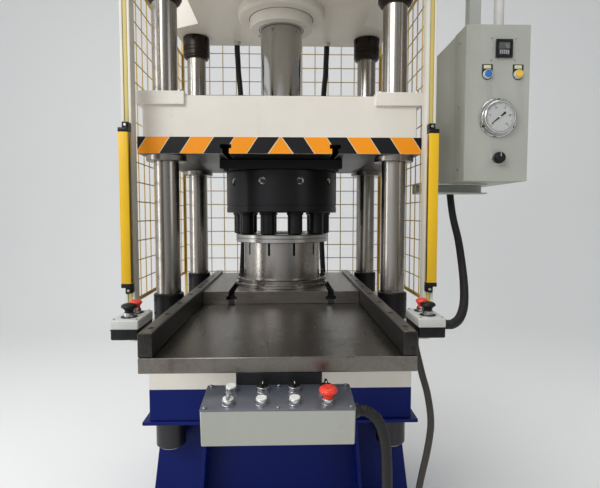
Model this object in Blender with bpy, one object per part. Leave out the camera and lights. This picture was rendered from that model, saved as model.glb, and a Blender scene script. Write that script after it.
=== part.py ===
"""Four-column hydraulic press with a feed table, light curtains and a control cabinet.

Metres, +Z up, front towards -Y. Every piece is placed from the press centre, the point on the
floor midway between the four columns. The world origin is the middle of the whole footprint.
"""
import math

import bmesh
import bpy
from mathutils import Matrix, Vector

for old in list(bpy.data.objects):
    bpy.data.objects.remove(old, do_unlink=True)

# Fits
SEAT = 0.0003            # gap left between two faces that touch
RUNNING = 0.0005         # radial clearance round a shaft or a push cap
PASSING = 0.0006         # radial clearance of a column in a fixed beam

# Columns, at the corners of a rectangle round the press centre
SPAN_X = 0.800
SPAN_Y = 0.590
COLUMN_R = 0.0425
COLUMN_SIDES = 16
NECK_R = 0.040           # column inside the bed and the crown
LOCK_NUT_R = 0.060
COLLAR_R = 0.052
COLLAR_H = 0.093
BOTTOM_NUT_H = 0.115
CROWN_NUT_H = 0.100
TOP_NUT_H = 0.090
COLUMN_END = 0.030       # thread showing above the top nut

# Base and bed
BASE_TOP_OUT = 0.040     # pedestal's top beyond a column axis
BASE_TOP_HALF = SPAN_X / 2 + BASE_TOP_OUT
BASE_FLARE = 0.060       # how much wider each side is at the floor
BASE_SET_BACK = 0.057     # pedestal's front behind a column axis
BASE_DEPTH_HALF = SPAN_Y / 2 - BASE_SET_BACK
FLOOR_FLANGE_T = 0.020
FLOOR_FLANGE_OUT = 0.040
LIP_Z = 0.480            # underside of the plate that the bottom nuts pull on
LIP_T = 0.012
LIP_OUT = 0.020
PLINTH_H = 0.106
RIB_X = 0.262
RIB_T = 0.012
RIB_OUT = 0.115
BED_OUT = 0.055          # from a column axis to the bed's side
BED_W = SPAN_X + 2 * BED_OUT
BED_EDGE = 0.075         # from a column axis to the bed's front or back face
BED_D = SPAN_Y + 2 * BED_EDGE
BED_H = 0.234
COVER_W = 0.282
COVER_H = 0.200
COVER_T = 0.005

# Feed table, its side rails and the bolster
TABLE_CLEAR = 0.0735     # from a column axis in to the table's edge
TABLE_W = SPAN_X - 2 * TABLE_CLEAR
TABLE_T = 0.038
TABLE_FRONT = -0.893
TABLE_SHORT = 0.025       # table ends before the bed's back
TABLE_BACK = BED_D / 2 - TABLE_SHORT
RAIL_W = 0.035
RAIL_H = 0.058
BOLSTER_T = 0.0467
BOLSTER_FRONT = -0.235
SLOT_X = 0.185
SLOT_NECK = 0.022
SLOT_NECK_DEPTH = 0.018
SLOT_FOOT = 0.038
SLOT_FOOT_H = 0.014

# Lower die
DIE_R = 0.157
DIE_FLANGE_R = 0.192
DIE_STEP_R = 0.183
DIE_FLANGE_T = 0.012
DIE_STEP_T = 0.019
DIE_H = 0.175
DIE_SIDES = 32
DIE_RING_R = 0.189
DIE_RING_BORE = 0.100
DIE_RING_T = 0.033
WINDOW_W = 0.009
WINDOW_H = 0.050
WINDOW_DEPTH = 0.014

# Upper tool, on the slide
POST_COUNT = 10
POST_R = 0.028
POST_CIRCLE = 0.170
POST_H = 0.085
POST_SIDES = 10
TOOL_R = 0.226
TOOL_H = 0.160
TOOL_GROOVE_UP = 0.024
TOOL_GROOVE_H = 0.004
TOOL_GROOVE_DEPTH = 0.003
SCREW_POCKET_R = 0.012
SCREW_POCKET_DEPTH = 0.010
SCREW_POCKET_UP = 0.117
TOOL_PLATE_T = 0.036

# Slide
SLIDE_OUT = 0.080        # from a column axis to the plate's side
SLIDE_FRONT_OUT = 0.072  # and to its front or back
SLIDE_W = SPAN_X + 2 * SLIDE_OUT
SLIDE_D = SPAN_Y + 2 * SLIDE_FRONT_OUT
SLIDE_PLATE_T = 0.057
SLIDE_BODY_IN = 0.018    # body in from the plate's side
SLIDE_BODY_BACK = 0.004  # and back from its front edge
SLIDE_BODY_W = SLIDE_W - 2 * SLIDE_BODY_IN
SLIDE_BODY_D = SLIDE_D - 2 * SLIDE_BODY_BACK
SLIDE_BODY_H = 0.137
PAD_SIZE = 0.160
PAD_T = 0.045
PAD_RISE = 0.012
WIPER_R = 0.069
WIPER_H = 0.020
ROD_R = 0.084
ROD_CLAMP_R = 0.086
ROD_CLAMP_H = 0.040
ROD_SIDES = 28
STROKE = 0.250

# Crown and main cylinder
CROWN_Z = 2.025
CROWN_H = 0.400
CROWN_OUT = 0.080
CROWN_FRONT_OUT = 0.095
CROWN_W = SPAN_X + 2 * CROWN_OUT
CROWN_D = SPAN_Y + 2 * CROWN_FRONT_OUT
CROWN_WAIST_IN = 0.120   # depth of the waist at each side
CROWN_WAIST_W = CROWN_W - 2 * CROWN_WAIST_IN
CROWN_WAIST_D = 0.250
CROWN_WAIST_CHAMFER = 0.065
CYL_BODY_R = 0.150
CYL_FLANGE_R = 0.176
CYL_FLANGE_T = 0.035
GLAND_R = 0.127
GLAND_T = 0.040
CYL_NUT_R = 0.190
CYL_NUT_H = 0.060
CYL_ABOVE = 0.230        # cylinder standing above its nut
CYL_CAP_T = 0.045

# Light-curtain posts
POST_W = 0.045
POST_OUT = 0.0445        # post's middle beyond the bed's side
POST_AHEAD = 0.080       # and ahead of its front
POST_X = BED_W / 2 + POST_OUT
POST_Y = -(BED_D / 2 + POST_AHEAD)
POST_FOOT_Z = 0.805
POST_TOP_Z = 2.300
POST_LUG_H = 0.036
POST_LUG_IN = 0.065      # how far each lug reaches towards the press centre
GROOVE_W = 0.014
GROOVE_DEPTH = 0.010
BAR_W = 0.037
BAR_D = 0.045
BAR_IN = 0.0185          # bar's middle inside the post's
BAR_X = POST_X - BAR_IN
BAR_LOW = 0.981
BAR_HIGH = 1.460
BAR_CAP_H = 0.014
BAR_LUG_H = 0.028
BAR_LUG_D = 0.030

# Wire guards
GUARD_T = 0.005
GUARD_BORDER = 0.014
GUARD_WIRE = 0.005
GUARD_LOW = 0.900
GUARD_HIGH = 2.000
GUARD_BEHIND = 0.070
GUARD_BACK_Y = BED_D / 2 + GUARD_BEHIND
BACK_GUARD_LOW = 0.700
BACK_GUARD_HIGH = 2.080
SIDE_GAPS = (3, 5)
BACK_GAPS = (5, 6)
BRACE_W = 0.040

# Operator console
CONSOLE_W = 0.330
CONSOLE_D = 0.111
CONSOLE_H = 0.085
CONSOLE_WALL = 0.003
CONSOLE_TILT = math.radians(6.7)
CONSOLE_AHEAD = 0.107
CONSOLE_FRONT = TABLE_FRONT - CONSOLE_AHEAD
CONSOLE_FRONT_TOP = 0.790
LID_T = 0.003
LID_OUT = 0.001
CONTROL_PITCH = 0.072
CONTROL_FRONT_V = 0.026
CONTROL_BACK_V = 0.082
BEZEL_R = 0.0142
BEZEL_H = 0.011
CAP_R = 0.0120
CAP_PROUD = 0.004
CONTROL_SIDES = 12
BUTTON_TRAVEL = 0.004
PRESSED_GAP = 0.0012     # left under a cap that is pushed all the way in
STEM_BELOW = 0.006       # stem reaching below the console lid
MUSHROOM_R = 0.020
MUSHROOM_H = 0.012
MUSHROOM_LIFT = 0.014
KNOB_LENGTH = 0.024
KNOB_W = 0.008
KNOB_H = 0.009
HANGER_T = 0.008
HANGER_W = 0.200
HANGER_REACH = 0.110     # how far back the plate reaches under the table

# Two-hand boxes beside the table
HAND_BESIDE = 0.0885     # box's middle beyond the table's side
HAND_BEHIND = 0.173      # and behind its front
HAND_X = TABLE_W / 2 + HAND_BESIDE
HAND_FRONT = TABLE_FRONT + HAND_BEHIND
HAND_W = 0.076
HAND_L = 0.140
HAND_BOTTOM = 0.8647
HAND_H = 0.055
HAND_BRACKET_T = 0.004
HAND_BRACKET_L = 0.090
HAND_PALM_R = 0.0215
HAND_STOP_R = 0.018
HAND_FRONT_V = 0.045
HAND_BACK_V = 0.102
HAND_BORE = 0.018
BOSS_DEPTH = 0.020       # switch body behind the door's skin

# Control cabinet
CAB_BESIDE = 0.1325      # beyond the right post's middle
CAB_LEFT = POST_X + CAB_BESIDE
CAB_W = 0.217
CAB_D = 0.250
CAB_Z = 1.317
CAB_H = 0.526
CAB_WALL = 0.003
CAB_BACK_Y = 0.000
DOOR_D = 0.108
DOOR_OUT = 0.003         # door wider than the body behind it, on the side away from the hinge
DOOR_GAP = 0.0015
HINGE_R = 0.006
HINGE_H = 0.030
HINGE_OUT = 0.007
HINGE_INSET = 0.060
METER_W = 0.056
METER_H = 0.060
METER_T = 0.010
METER_RECESS = 0.003
METER_UP = 0.445
GAUGE_R = 0.066
GAUGE_BODY_R = 0.056
GAUGE_T = 0.008
GAUGE_PROUD = 0.028
GAUGE_UP = 0.214
METER_SHIFT = 0.0155      # right of the door's middle
PANEL_BUTTON_UP = 0.360
PANEL_BUTTON_PITCH = 0.106
PANEL_BUTTON_SHIFT = 0.0145
LEGEND_R = 0.0185        # bare plate round each of these two buttons
LEGEND_RISE = 0.034
LEGEND_T = 0.0012
DIAL_UP = 0.078
DIAL_SHIFT = 0.0035
DIAL_R = 0.020
DIAL_H = 0.018
ARM_TUBE = 0.043
ARM_Y = -0.222
ARM_INSET = 0.071        # from the cabinet's left side to the middle of the tube
ARM_TOP = 2.270
SHELF_Y = -0.200
SHELF_H = 0.038
SHELF_D = 0.060
SHELF_WEB = 0.005
SHELF_UNDER = 0.136      # how far the shelf reaches under the cabinet
SHELF_END = CAB_LEFT + SHELF_UNDER

# Cables, hoses and the glands that they run into
GLAND_FIT = 1.35         # gland radius for each unit of cable radius
GLAND_MOUTH = 1.12
GLAND_L = 0.016
CONDUIT_R = 0.014
RISER_R = 0.0182
CABLE_R = 0.010
HOSE_R = 0.013
HOSE_X = 0.215
HOSE_BEHIND = 0.044
HOSE_Y = BED_D / 2 + HOSE_BEHIND
HOSE_LOW = 0.750
HOSE_TOP_Y = BED_D / 2 - TABLE_SHORT
BED_GLAND_L = 0.010
CAB_CORD_IN = 0.033
CAB_CORD_X = CAB_LEFT + CAB_CORD_IN
CAB_CORD_Y = -0.125
HAND_GLAND_V = 0.070      # behind the box's front
HAND_GLAND_UP = 0.0213
HAND_GLAND_Y = HAND_FRONT + HAND_GLAND_V
HAND_GLAND_Z = HAND_BOTTOM + HAND_GLAND_UP
HAND_GLAND_L = 0.012
HAND_CABLE_IN = 0.027
HAND_CABLE_X = HAND_X - HAND_CABLE_IN
HAND_OUT = HAND_X + HAND_W / 2
CONSOLE_CORD_V = 0.055    # behind the box's front
CONSOLE_CORD_Y = CONSOLE_FRONT + CONSOLE_CORD_V
CONSOLE_CORD_DOWN = 0.028
CONSOLE_CORD_Z = CONSOLE_FRONT_TOP - CONSOLE_CORD_DOWN
CONSOLE_CORD_X = 0.330   # where it enters the pedestal
HAND_CORD_X = 0.392
BASE_GLAND_Z = 0.120
RISER_IN = 0.174
RISER_X = CAB_LEFT + RISER_IN
RISER_START_Y = -0.205
RISER_Y = -0.260
RISER_Z = 2.360

# Heights that follow from the sizes above
PLINTH_TOP = LIP_Z + LIP_T + PLINTH_H
BED_TOP = PLINTH_TOP + BED_H
TABLE_TOP = BED_TOP + TABLE_T
BOLSTER_TOP = TABLE_TOP + BOLSTER_T
RAIL_TOP = TABLE_TOP + RAIL_H
DIE_TOP = BOLSTER_TOP + DIE_H
RING_TOP = DIE_TOP + DIE_RING_T
TOOL_Z = RING_TOP + POST_H
TOOL_TOP = TOOL_Z + TOOL_H
SLIDE_Z = TOOL_TOP + TOOL_PLATE_T
SLIDE_TOP = SLIDE_Z + SLIDE_PLATE_T + SLIDE_BODY_H
CROWN_TOP = CROWN_Z + CROWN_H
CYL_TOP = CROWN_TOP + CYL_NUT_H + CYL_ABOVE
DOOR_FRONT = CAB_BACK_Y - CAB_D - DOOR_GAP - DOOR_D
HINGE_X = CAB_LEFT + CAB_W + HINGE_OUT
HINGE_Y = CAB_BACK_Y - CAB_D - DOOR_GAP / 2

# The middle of the footprint, seen from the press centre
FLANGE_HALF = BASE_TOP_HALF + BASE_FLARE + FLOOR_FLANGE_OUT
CONSOLE_REACH = CONSOLE_FRONT - LID_OUT * math.cos(CONSOLE_TILT)
BACK_REACH = GUARD_BACK_Y + GUARD_T
CENTRE_X = (HINGE_X + HINGE_R - FLANGE_HALF) / 2
CENTRE_Y = (CONSOLE_REACH + BACK_REACH) / 2

BASE_GLAND_Y = -BASE_DEPTH_HALF - GLAND_L - SEAT

CORNERS = [(sx, sy) for sy in (-1, 1) for sx in (-1, 1)]
CORNER_NAMES = ["front_left", "front_right", "back_left", "back_right"]


def material(name, color, roughness, metallic):
    made = bpy.data.materials.new(name)
    made.use_nodes = True
    shader = made.node_tree.nodes["Principled BSDF"]
    shader.inputs["Base Color"].default_value = (*color, 1.0)
    shader.inputs["Roughness"].default_value = roughness
    shader.inputs["Metallic"].default_value = metallic
    return made


CREAM = material("cream_paint", (0.78, 0.76, 0.70), 0.45, 0.0)
BLUE = material("blue_paint", (0.010, 0.035, 0.300), 0.40, 0.0)
CHROME = material("hard_chrome", (0.72, 0.71, 0.69), 0.16, 1.0)
BLACK_STEEL = material("blackened_steel", (0.035, 0.036, 0.040), 0.42, 0.7)
TABLE_STEEL = material("ground_steel", (0.30, 0.28, 0.25), 0.38, 0.9)
RAIL_STEEL = material("oiled_steel", (0.09, 0.09, 0.09), 0.40, 0.8)
DIE_STEEL = material("turned_steel", (0.55, 0.53, 0.50), 0.30, 1.0)
GREY_PAINT = material("grey_paint", (0.52, 0.54, 0.49), 0.45, 0.0)
YELLOW_PAINT = material("yellow_paint", (0.80, 0.52, 0.03), 0.40, 0.0)
LID_STEEL = material("brushed_lid", (0.42, 0.44, 0.47), 0.30, 1.0)
BLACK_PLASTIC = material("black_plastic", (0.025, 0.026, 0.030), 0.42, 0.0)
RED_PLASTIC = material("red_plastic", (0.72, 0.06, 0.04), 0.35, 0.0)
WHITE_PLASTIC = material("white_plastic", (0.78, 0.77, 0.72), 0.35, 0.0)
BLUE_PLASTIC = material("blue_plastic", (0.02, 0.12, 0.42), 0.35, 0.0)
CABLE_RUBBER = material("cable_rubber", (0.030, 0.030, 0.032), 0.55, 0.0)

centre = bpy.data.objects.new("press_centre", None)
centre.location = (-CENTRE_X, -CENTRE_Y, 0.0)
bpy.context.scene.collection.objects.link(centre)


def carrier(name, place, parent=centre, turn=(0.0, 0.0, 0.0)):
    """An empty on a joint's axis, which its pieces hang from."""
    empty = bpy.data.objects.new(name, None)
    empty.location = place
    empty.rotation_euler = turn
    empty.parent = parent
    bpy.context.scene.collection.objects.link(empty)
    return empty


def piece(name, mesh_maker, finish, place=(0.0, 0.0, 0.0), parent=centre, turn=(0.0, 0.0, 0.0),
          smooth=None):
    """Turn a bmesh into a named object. Smooth is the sharpest angle left smooth, in degrees."""
    mesh = bpy.data.meshes.new(name)
    bmesh.ops.recalc_face_normals(mesh_maker, faces=mesh_maker.faces)
    mesh_maker.to_mesh(mesh)
    mesh_maker.free()
    made = bpy.data.objects.new(name, mesh)
    made.location = place
    made.rotation_euler = turn
    made.parent = parent
    bpy.context.scene.collection.objects.link(made)
    if finish is not None:
        mesh.materials.append(finish)
    if smooth is not None:
        mesh.shade_smooth()
        mesh.set_sharp_from_angle(angle=math.radians(smooth))
    return made


def block(low, high):
    """A box between two corners."""
    shape = bmesh.new()
    bmesh.ops.create_cube(shape, size=1.0)
    size = [b - a for a, b in zip(low, high)]
    middle = [(a + b) / 2 for a, b in zip(low, high)]
    bmesh.ops.scale(shape, vec=size, verts=shape.verts)
    bmesh.ops.translate(shape, vec=middle, verts=shape.verts)
    return shape


def prism(outline, start, end, axis="Z"):
    """A flat outline pushed along one axis. The outline's two numbers are the other two axes in order."""
    shape = bmesh.new()
    order = {"Z": lambda a, b, c: (a, b, c), "Y": lambda a, b, c: (a, c, b), "X": lambda a, b, c: (c, a, b)}
    spot = order[axis]
    face = shape.faces.new([shape.verts.new(spot(a, b, start)) for a, b in outline])
    grown = bmesh.ops.extrude_face_region(shape, geom=[face])
    moved = [item for item in grown["geom"] if isinstance(item, bmesh.types.BMVert)]
    bmesh.ops.translate(shape, vec=spot(0.0, 0.0, end - start), verts=moved)
    return shape


def turned(profile, sides):
    """A closed profile of (radius, height) turned about Z. Ends at radius 0 close as flat discs."""
    shape = bmesh.new()
    solid = profile[0][0] == 0.0
    rings = []
    for radius, height in profile[1:-1] if solid else profile:
        angles = [2 * math.pi * step / sides for step in range(sides)]
        rings.append([shape.verts.new((radius * math.cos(t), radius * math.sin(t), height)) for t in angles])
    pairs = list(zip(rings, rings[1:]))
    if solid:
        shape.faces.new(rings[0])
        shape.faces.new(rings[-1])
    else:
        pairs.append((rings[-1], rings[0]))
    for lower, upper in pairs:
        for step in range(sides):
            after = (step + 1) % sides
            shape.faces.new((lower[step], lower[after], upper[after], upper[step]))
    return shape


def rod_shape(radius, low, high, sides):
    return turned([(0.0, low), (radius, low), (radius, high), (0.0, high)], sides)


def helper(mesh_maker, target, place=(0.0, 0.0, 0.0), turn=(0.0, 0.0, 0.0)):
    """A wire-drawn solid that only cuts or adds to its target."""
    made = piece("tool_for_" + target.name, mesh_maker, None, place, target.parent, turn)
    made.hide_render = True
    made.display_type = "WIRE"
    return made


def combine(target, mesh_maker, operation, place=(0.0, 0.0, 0.0), turn=(0.0, 0.0, 0.0)):
    step = target.modifiers.new(operation.lower(), "BOOLEAN")
    step.operation = operation
    step.solver = "EXACT"
    step.object = helper(mesh_maker, target, place, turn)


def cut(target, mesh_maker, **placing):
    combine(target, mesh_maker, "DIFFERENCE", **placing)


def add(target, mesh_maker, **placing):
    combine(target, mesh_maker, "UNION", **placing)


def column_holes(target, radius, low, high):
    for sx, sy in CORNERS:
        drill = rod_shape(radius, low - 0.01, high + 0.01, COLUMN_SIDES)
        cut(target, drill, place=(sx * SPAN_X / 2, sy * SPAN_Y / 2, 0.0))


def bevelled(target, width, segments=1):
    step = target.modifiers.new("edge", "BEVEL")
    step.width = width
    step.segments = segments
    step.limit_method = "ANGLE"
    step.angle_limit = math.radians(50)
    return target


GLAND_TURNS = {
    "up": (0.0, 0.0, 0.0),
    "down": (math.pi, 0.0, 0.0),
    "right": (0.0, math.pi / 2, 0.0),
    "front": (math.pi / 2, 0.0, 0.0),
    "back": (-math.pi / 2, 0.0, 0.0),
}


def gland(target, place, facing, cord_radius, length=GLAND_L):
    """Screwed gland for a cord, standing out of a wall of its target."""
    radius = GLAND_FIT * cord_radius
    mouth = GLAND_MOUTH * cord_radius
    shape = turned([(0.0, -0.002), (radius, -0.002), (radius, 0.6 * length), (mouth, length), (0.0, length)], 12)
    add(target, shape, place=place, turn=GLAND_TURNS[facing])


def tee_slot(x, face, into):
    """Outline points of one T-slot at x. Into is -1 for a slot cut down from face, 1 for one cut up."""
    neck, foot = SLOT_NECK / 2, SLOT_FOOT / 2
    waist = face + into * SLOT_NECK_DEPTH
    floor = waist + into * SLOT_FOOT_H
    return [(x + neck, face), (x + neck, waist), (x + foot, waist), (x + foot, floor),
            (x - foot, floor), (x - foot, waist), (x - neck, waist), (x - neck, face)]


def base_frame():
    """Flared pedestal, plinth, clamping lip, ribs and floor flange welded into one piece."""
    foot = BASE_TOP_HALF + BASE_FLARE
    low, high = FLOOR_FLANGE_T / 2, LIP_Z + LIP_T / 2
    flare = [(-foot, low), (foot, low), (BASE_TOP_HALF, high), (-BASE_TOP_HALF, high)]
    frame = piece("base_frame", prism(flare, -BASE_DEPTH_HALF, BASE_DEPTH_HALF, "Y"), BLUE)
    reach = FLANGE_HALF
    deep = BASE_DEPTH_HALF + RIB_OUT + FLOOR_FLANGE_OUT
    add(frame, block((-reach, -deep, 0.0), (reach, deep, FLOOR_FLANGE_T)))
    lip_x, lip_y = BED_W / 2 + LIP_OUT, BED_D / 2 + LIP_OUT
    add(frame, block((-lip_x, -lip_y, LIP_Z), (lip_x, lip_y, LIP_Z + LIP_T)))
    add(frame, block((-BED_W / 2, -BED_D / 2, high), (BED_W / 2, BED_D / 2, PLINTH_TOP - SEAT)))
    lean = BASE_FLARE * RIB_X / BASE_TOP_HALF
    for side in (-1, 1):
        inner, outer = RIB_X - RIB_T / 2, RIB_X + RIB_T / 2
        rib = [(side * (inner + lean), low), (side * (outer + lean), low),
               (side * outer, high), (side * inner, high)]
        rib_y = BASE_DEPTH_HALF + RIB_OUT
        add(frame, prism(rib, -rib_y, rib_y, "Y"))
    gland(frame, (CONSOLE_CORD_X, -BASE_DEPTH_HALF, BASE_GLAND_Z), "front", 0.9 * CONDUIT_R)
    gland(frame, (HAND_CORD_X, -BASE_DEPTH_HALF, BASE_GLAND_Z), "front", CABLE_R)
    column_holes(frame, NECK_R + PASSING, LIP_Z, PLINTH_TOP)
    return frame


def bed():
    solid = block((-BED_W / 2, -BED_D / 2, PLINTH_TOP), (BED_W / 2, BED_D / 2, BED_TOP - SEAT))
    beam = piece("bed_beam", solid, CREAM)
    for side in (-1, 1):
        gland(beam, (side * HOSE_X, BED_D / 2, HOSE_LOW), "back", HOSE_R, BED_GLAND_L)
    column_holes(beam, NECK_R + PASSING, PLINTH_TOP, BED_TOP)
    face = -BED_D / 2 - SEAT
    low = PLINTH_TOP + 0.002
    cover = block((-COVER_W / 2, face - COVER_T, low), (COVER_W / 2, face, low + COVER_H))
    bevelled(piece("bed_cover", cover, BLACK_PLASTIC), 0.0015)


def columns():
    """Each column is turned with its bottom nut, bed collar and top nut; its crown lock nut is separate."""
    nut_low = LIP_Z - SEAT - BOTTOM_NUT_H
    edge = 0.003
    profile = [
        (0.0, nut_low),
        (COLLAR_R - edge, nut_low),
        (COLLAR_R, nut_low + edge),
        (COLLAR_R, LIP_Z - SEAT),
        (NECK_R, LIP_Z - SEAT),
        (NECK_R, BED_TOP),
        (COLLAR_R, BED_TOP),
        (COLLAR_R, BED_TOP + COLLAR_H - edge),
        (COLUMN_R, BED_TOP + COLLAR_H),
        (COLUMN_R, CROWN_Z - SEAT),
        (NECK_R, CROWN_Z - SEAT),
        (NECK_R, CROWN_TOP + SEAT),
        (LOCK_NUT_R, CROWN_TOP + SEAT),
        (LOCK_NUT_R, CROWN_TOP + TOP_NUT_H),
        (NECK_R, CROWN_TOP + TOP_NUT_H),
        (NECK_R, CROWN_TOP + TOP_NUT_H + COLUMN_END),
        (0.0, CROWN_TOP + TOP_NUT_H + COLUMN_END),
    ]
    low, high = CROWN_Z - CROWN_NUT_H, CROWN_Z - SEAT
    bore = COLUMN_R + RUNNING
    nut = [
        (bore, low),
        (LOCK_NUT_R - 0.006, low),
        (LOCK_NUT_R, low + 0.010),
        (LOCK_NUT_R, high),
        (bore, high),
    ]
    for (sx, sy), name in zip(CORNERS, CORNER_NAMES):
        spot = (sx * SPAN_X / 2, sy * SPAN_Y / 2, 0.0)
        piece("column_" + name, turned(profile, COLUMN_SIDES), CHROME, spot, smooth=40)
        piece("lock_nut_" + name, turned(nut, COLUMN_SIDES), BLACK_STEEL, spot, smooth=40)


def feed_table():
    half = TABLE_W / 2
    plate = block((-half, TABLE_FRONT, BED_TOP), (half, TABLE_BACK, TABLE_TOP - SEAT))
    bevelled(piece("table_plate", plate, TABLE_STEEL), 0.0015)
    for side, name in ((-1, "left"), (1, "right")):
        inner, outer = sorted((side * (half - RAIL_W), side * half))
        rail = block((inner, TABLE_FRONT, TABLE_TOP), (outer, TABLE_BACK, RAIL_TOP))
        bevelled(piece("rail_" + name, rail, RAIL_STEEL), 0.002)


def bolster():
    half = TABLE_W / 2 - RAIL_W - 2 * SEAT
    low, high = TABLE_TOP, BOLSTER_TOP - SEAT
    outline = [(-half, low), (half, low), (half, high)]
    outline += tee_slot(SLOT_X, high, -1)
    outline += tee_slot(-SLOT_X, high, -1)
    outline += [(-half, high)]
    piece("bolster", prism(outline, BOLSTER_FRONT, TABLE_BACK, "Y"), TABLE_STEEL)


def round_spots(count, radius, phase):
    """Points evenly spaced on a circle, with their angles."""
    for step in range(count):
        angle = phase + 2 * math.pi * step / count
        yield angle, radius * math.cos(angle), radius * math.sin(angle)


POST_PHASE = -math.pi / 2 + math.pi / POST_COUNT


def lower_die():
    low = BOLSTER_TOP
    flange = low + DIE_FLANGE_T
    step = flange + DIE_STEP_T
    profile = [
        (0.0, low),
        (DIE_FLANGE_R, low),
        (DIE_FLANGE_R, flange),
        (DIE_STEP_R, flange),
        (DIE_STEP_R, step - 0.003),
        (DIE_STEP_R - 0.003, step),
        (DIE_R, step),
        (DIE_R, DIE_TOP - SEAT),
        (0.0, DIE_TOP - SEAT),
    ]
    die = piece("lower_die", turned(profile, DIE_SIDES), DIE_STEEL, smooth=40)
    for angle, x, y in round_spots(POST_COUNT, DIE_R, POST_PHASE):
        window = block((-WINDOW_DEPTH, -WINDOW_W / 2, DIE_TOP - WINDOW_H), (0.02, WINDOW_W / 2, DIE_TOP + 0.01))
        cut(die, window, place=(x, y, 0.0), turn=(0.0, 0.0, angle))
    middle = DIE_TOP + DIE_RING_T / 2
    ring = [
        (DIE_RING_BORE, DIE_TOP),
        (DIE_RING_R - 0.002, DIE_TOP),
        (DIE_RING_R, DIE_TOP + 0.002),
        (DIE_RING_R, middle - 0.0015),
        (DIE_RING_R - 0.002, middle),
        (DIE_RING_R, middle + 0.0015),
        (DIE_RING_R, RING_TOP - 0.002),
        (DIE_RING_R - 0.002, RING_TOP - SEAT),
        (DIE_RING_BORE, RING_TOP - SEAT),
    ]
    piece("die_ring", turned(ring, DIE_SIDES), DIE_STEEL, smooth=40)


def upper_tool(slide_axis):
    """Tool head with its ring of posts and radial screw pockets."""
    groove = TOOL_Z + TOOL_GROOVE_UP
    inner = TOOL_R - TOOL_GROOVE_DEPTH
    profile = [
        (0.0, TOOL_Z),
        (TOOL_R - 0.002, TOOL_Z),
        (TOOL_R, TOOL_Z + 0.002),
        (TOOL_R, groove),
        (inner, groove),
        (inner, groove + TOOL_GROOVE_H),
        (TOOL_R, groove + TOOL_GROOVE_H),
        (TOOL_R, TOOL_TOP - SEAT),
        (0.0, TOOL_TOP - SEAT),
    ]
    head = piece("upper_tool", turned(profile, DIE_SIDES), BLACK_STEEL, parent=slide_axis, smooth=40)
    for angle, x, y in round_spots(POST_COUNT, POST_CIRCLE, POST_PHASE):
        edge = 0.003
        shape = [(0.0, RING_TOP), (POST_R - edge, RING_TOP), (POST_R, RING_TOP + edge), (POST_R, TOOL_Z + 0.005),
                 (0.0, TOOL_Z + 0.005)]
        add(head, turned(shape, POST_SIDES), place=(x, y, 0.0))
    for angle, x, y in round_spots(POST_COUNT, TOOL_R, POST_PHASE):
        pocket = rod_shape(SCREW_POCKET_R, -SCREW_POCKET_DEPTH, 0.02, 10)
        cut(head, pocket, place=(x, y, TOOL_Z + SCREW_POCKET_UP), turn=(0.0, math.pi / 2, angle))
    side = TOOL_R
    plate = block((-side, -side, TOOL_TOP), (side, side, SLIDE_Z - SEAT))
    bevelled(piece("upper_plate", plate, BLACK_STEEL, parent=slide_axis), 0.002)


def slide(slide_axis):
    """Moving beam: slotted bottom plate, box body, corner guide pads and the wipers under them."""
    half = SLIDE_W / 2
    low, high = SLIDE_Z, SLIDE_Z + SLIDE_PLATE_T
    outline = [(half, low), (half, high), (-half, high), (-half, low)]
    outline += list(reversed(tee_slot(-SLOT_X, low, 1)))
    outline += list(reversed(tee_slot(SLOT_X, low, 1)))
    beam = piece("slide", prism(outline, -SLIDE_D / 2, SLIDE_D / 2, "Y"), CREAM, parent=slide_axis)
    body_x, body_y = SLIDE_BODY_W / 2, SLIDE_BODY_D / 2
    add(beam, block((-body_x, -body_y, high - 0.01), (body_x, body_y, SLIDE_TOP)))
    for sx, sy in CORNERS:
        x, y = sx * SPAN_X / 2, sy * SPAN_Y / 2
        pad = block((x - PAD_SIZE / 2, y - PAD_SIZE / 2, SLIDE_TOP + PAD_RISE - PAD_T),
                    (x + PAD_SIZE / 2, y + PAD_SIZE / 2, SLIDE_TOP + PAD_RISE))
        add(beam, pad)
        wiper = rod_shape(WIPER_R, SLIDE_Z - WIPER_H, SLIDE_Z + 0.01, COLUMN_SIDES)
        add(beam, wiper, place=(x, y, 0.0))
    column_holes(beam, COLUMN_R + RUNNING, SLIDE_Z - WIPER_H, SLIDE_TOP + PAD_RISE)
    rod_top = CROWN_TOP - STROKE / 2
    rod = [
        (0.0, SLIDE_TOP + SEAT),
        (ROD_CLAMP_R, SLIDE_TOP + SEAT),
        (ROD_CLAMP_R, SLIDE_TOP + ROD_CLAMP_H),
        (ROD_R, SLIDE_TOP + ROD_CLAMP_H + 0.002),
        (ROD_R, rod_top),
        (0.0, rod_top),
    ]
    piece("piston_rod", turned(rod, ROD_SIDES), CHROME, parent=slide_axis, smooth=40)


def crown():
    """Top beam, waisted at both sides between its front and back columns."""
    half_x, half_y = CROWN_W / 2, CROWN_D / 2
    waist_x, waist_y = CROWN_WAIST_W / 2, CROWN_WAIST_D / 2
    slope_y = waist_y + CROWN_WAIST_CHAMFER
    right = [(half_x, -half_y), (half_x, -slope_y), (waist_x, -waist_y), (waist_x, waist_y),
             (half_x, slope_y), (half_x, half_y)]
    outline = right + [(-x, y) for x, y in reversed(right)]
    beam = piece("crown", prism(outline, CROWN_Z, CROWN_TOP), CREAM)
    for side in (-1, 1):
        gland(beam, (side * HOSE_X, HOSE_TOP_Y, CROWN_Z), "down", HOSE_R)
    gland(beam, (half_x, RISER_Y, RISER_Z), "right", RISER_R)
    column_holes(beam, NECK_R + PASSING, CROWN_Z, CROWN_TOP)
    cut(beam, rod_shape(CYL_BODY_R + PASSING, CROWN_Z - 0.01, CROWN_TOP + 0.01, ROD_SIDES))


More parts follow.
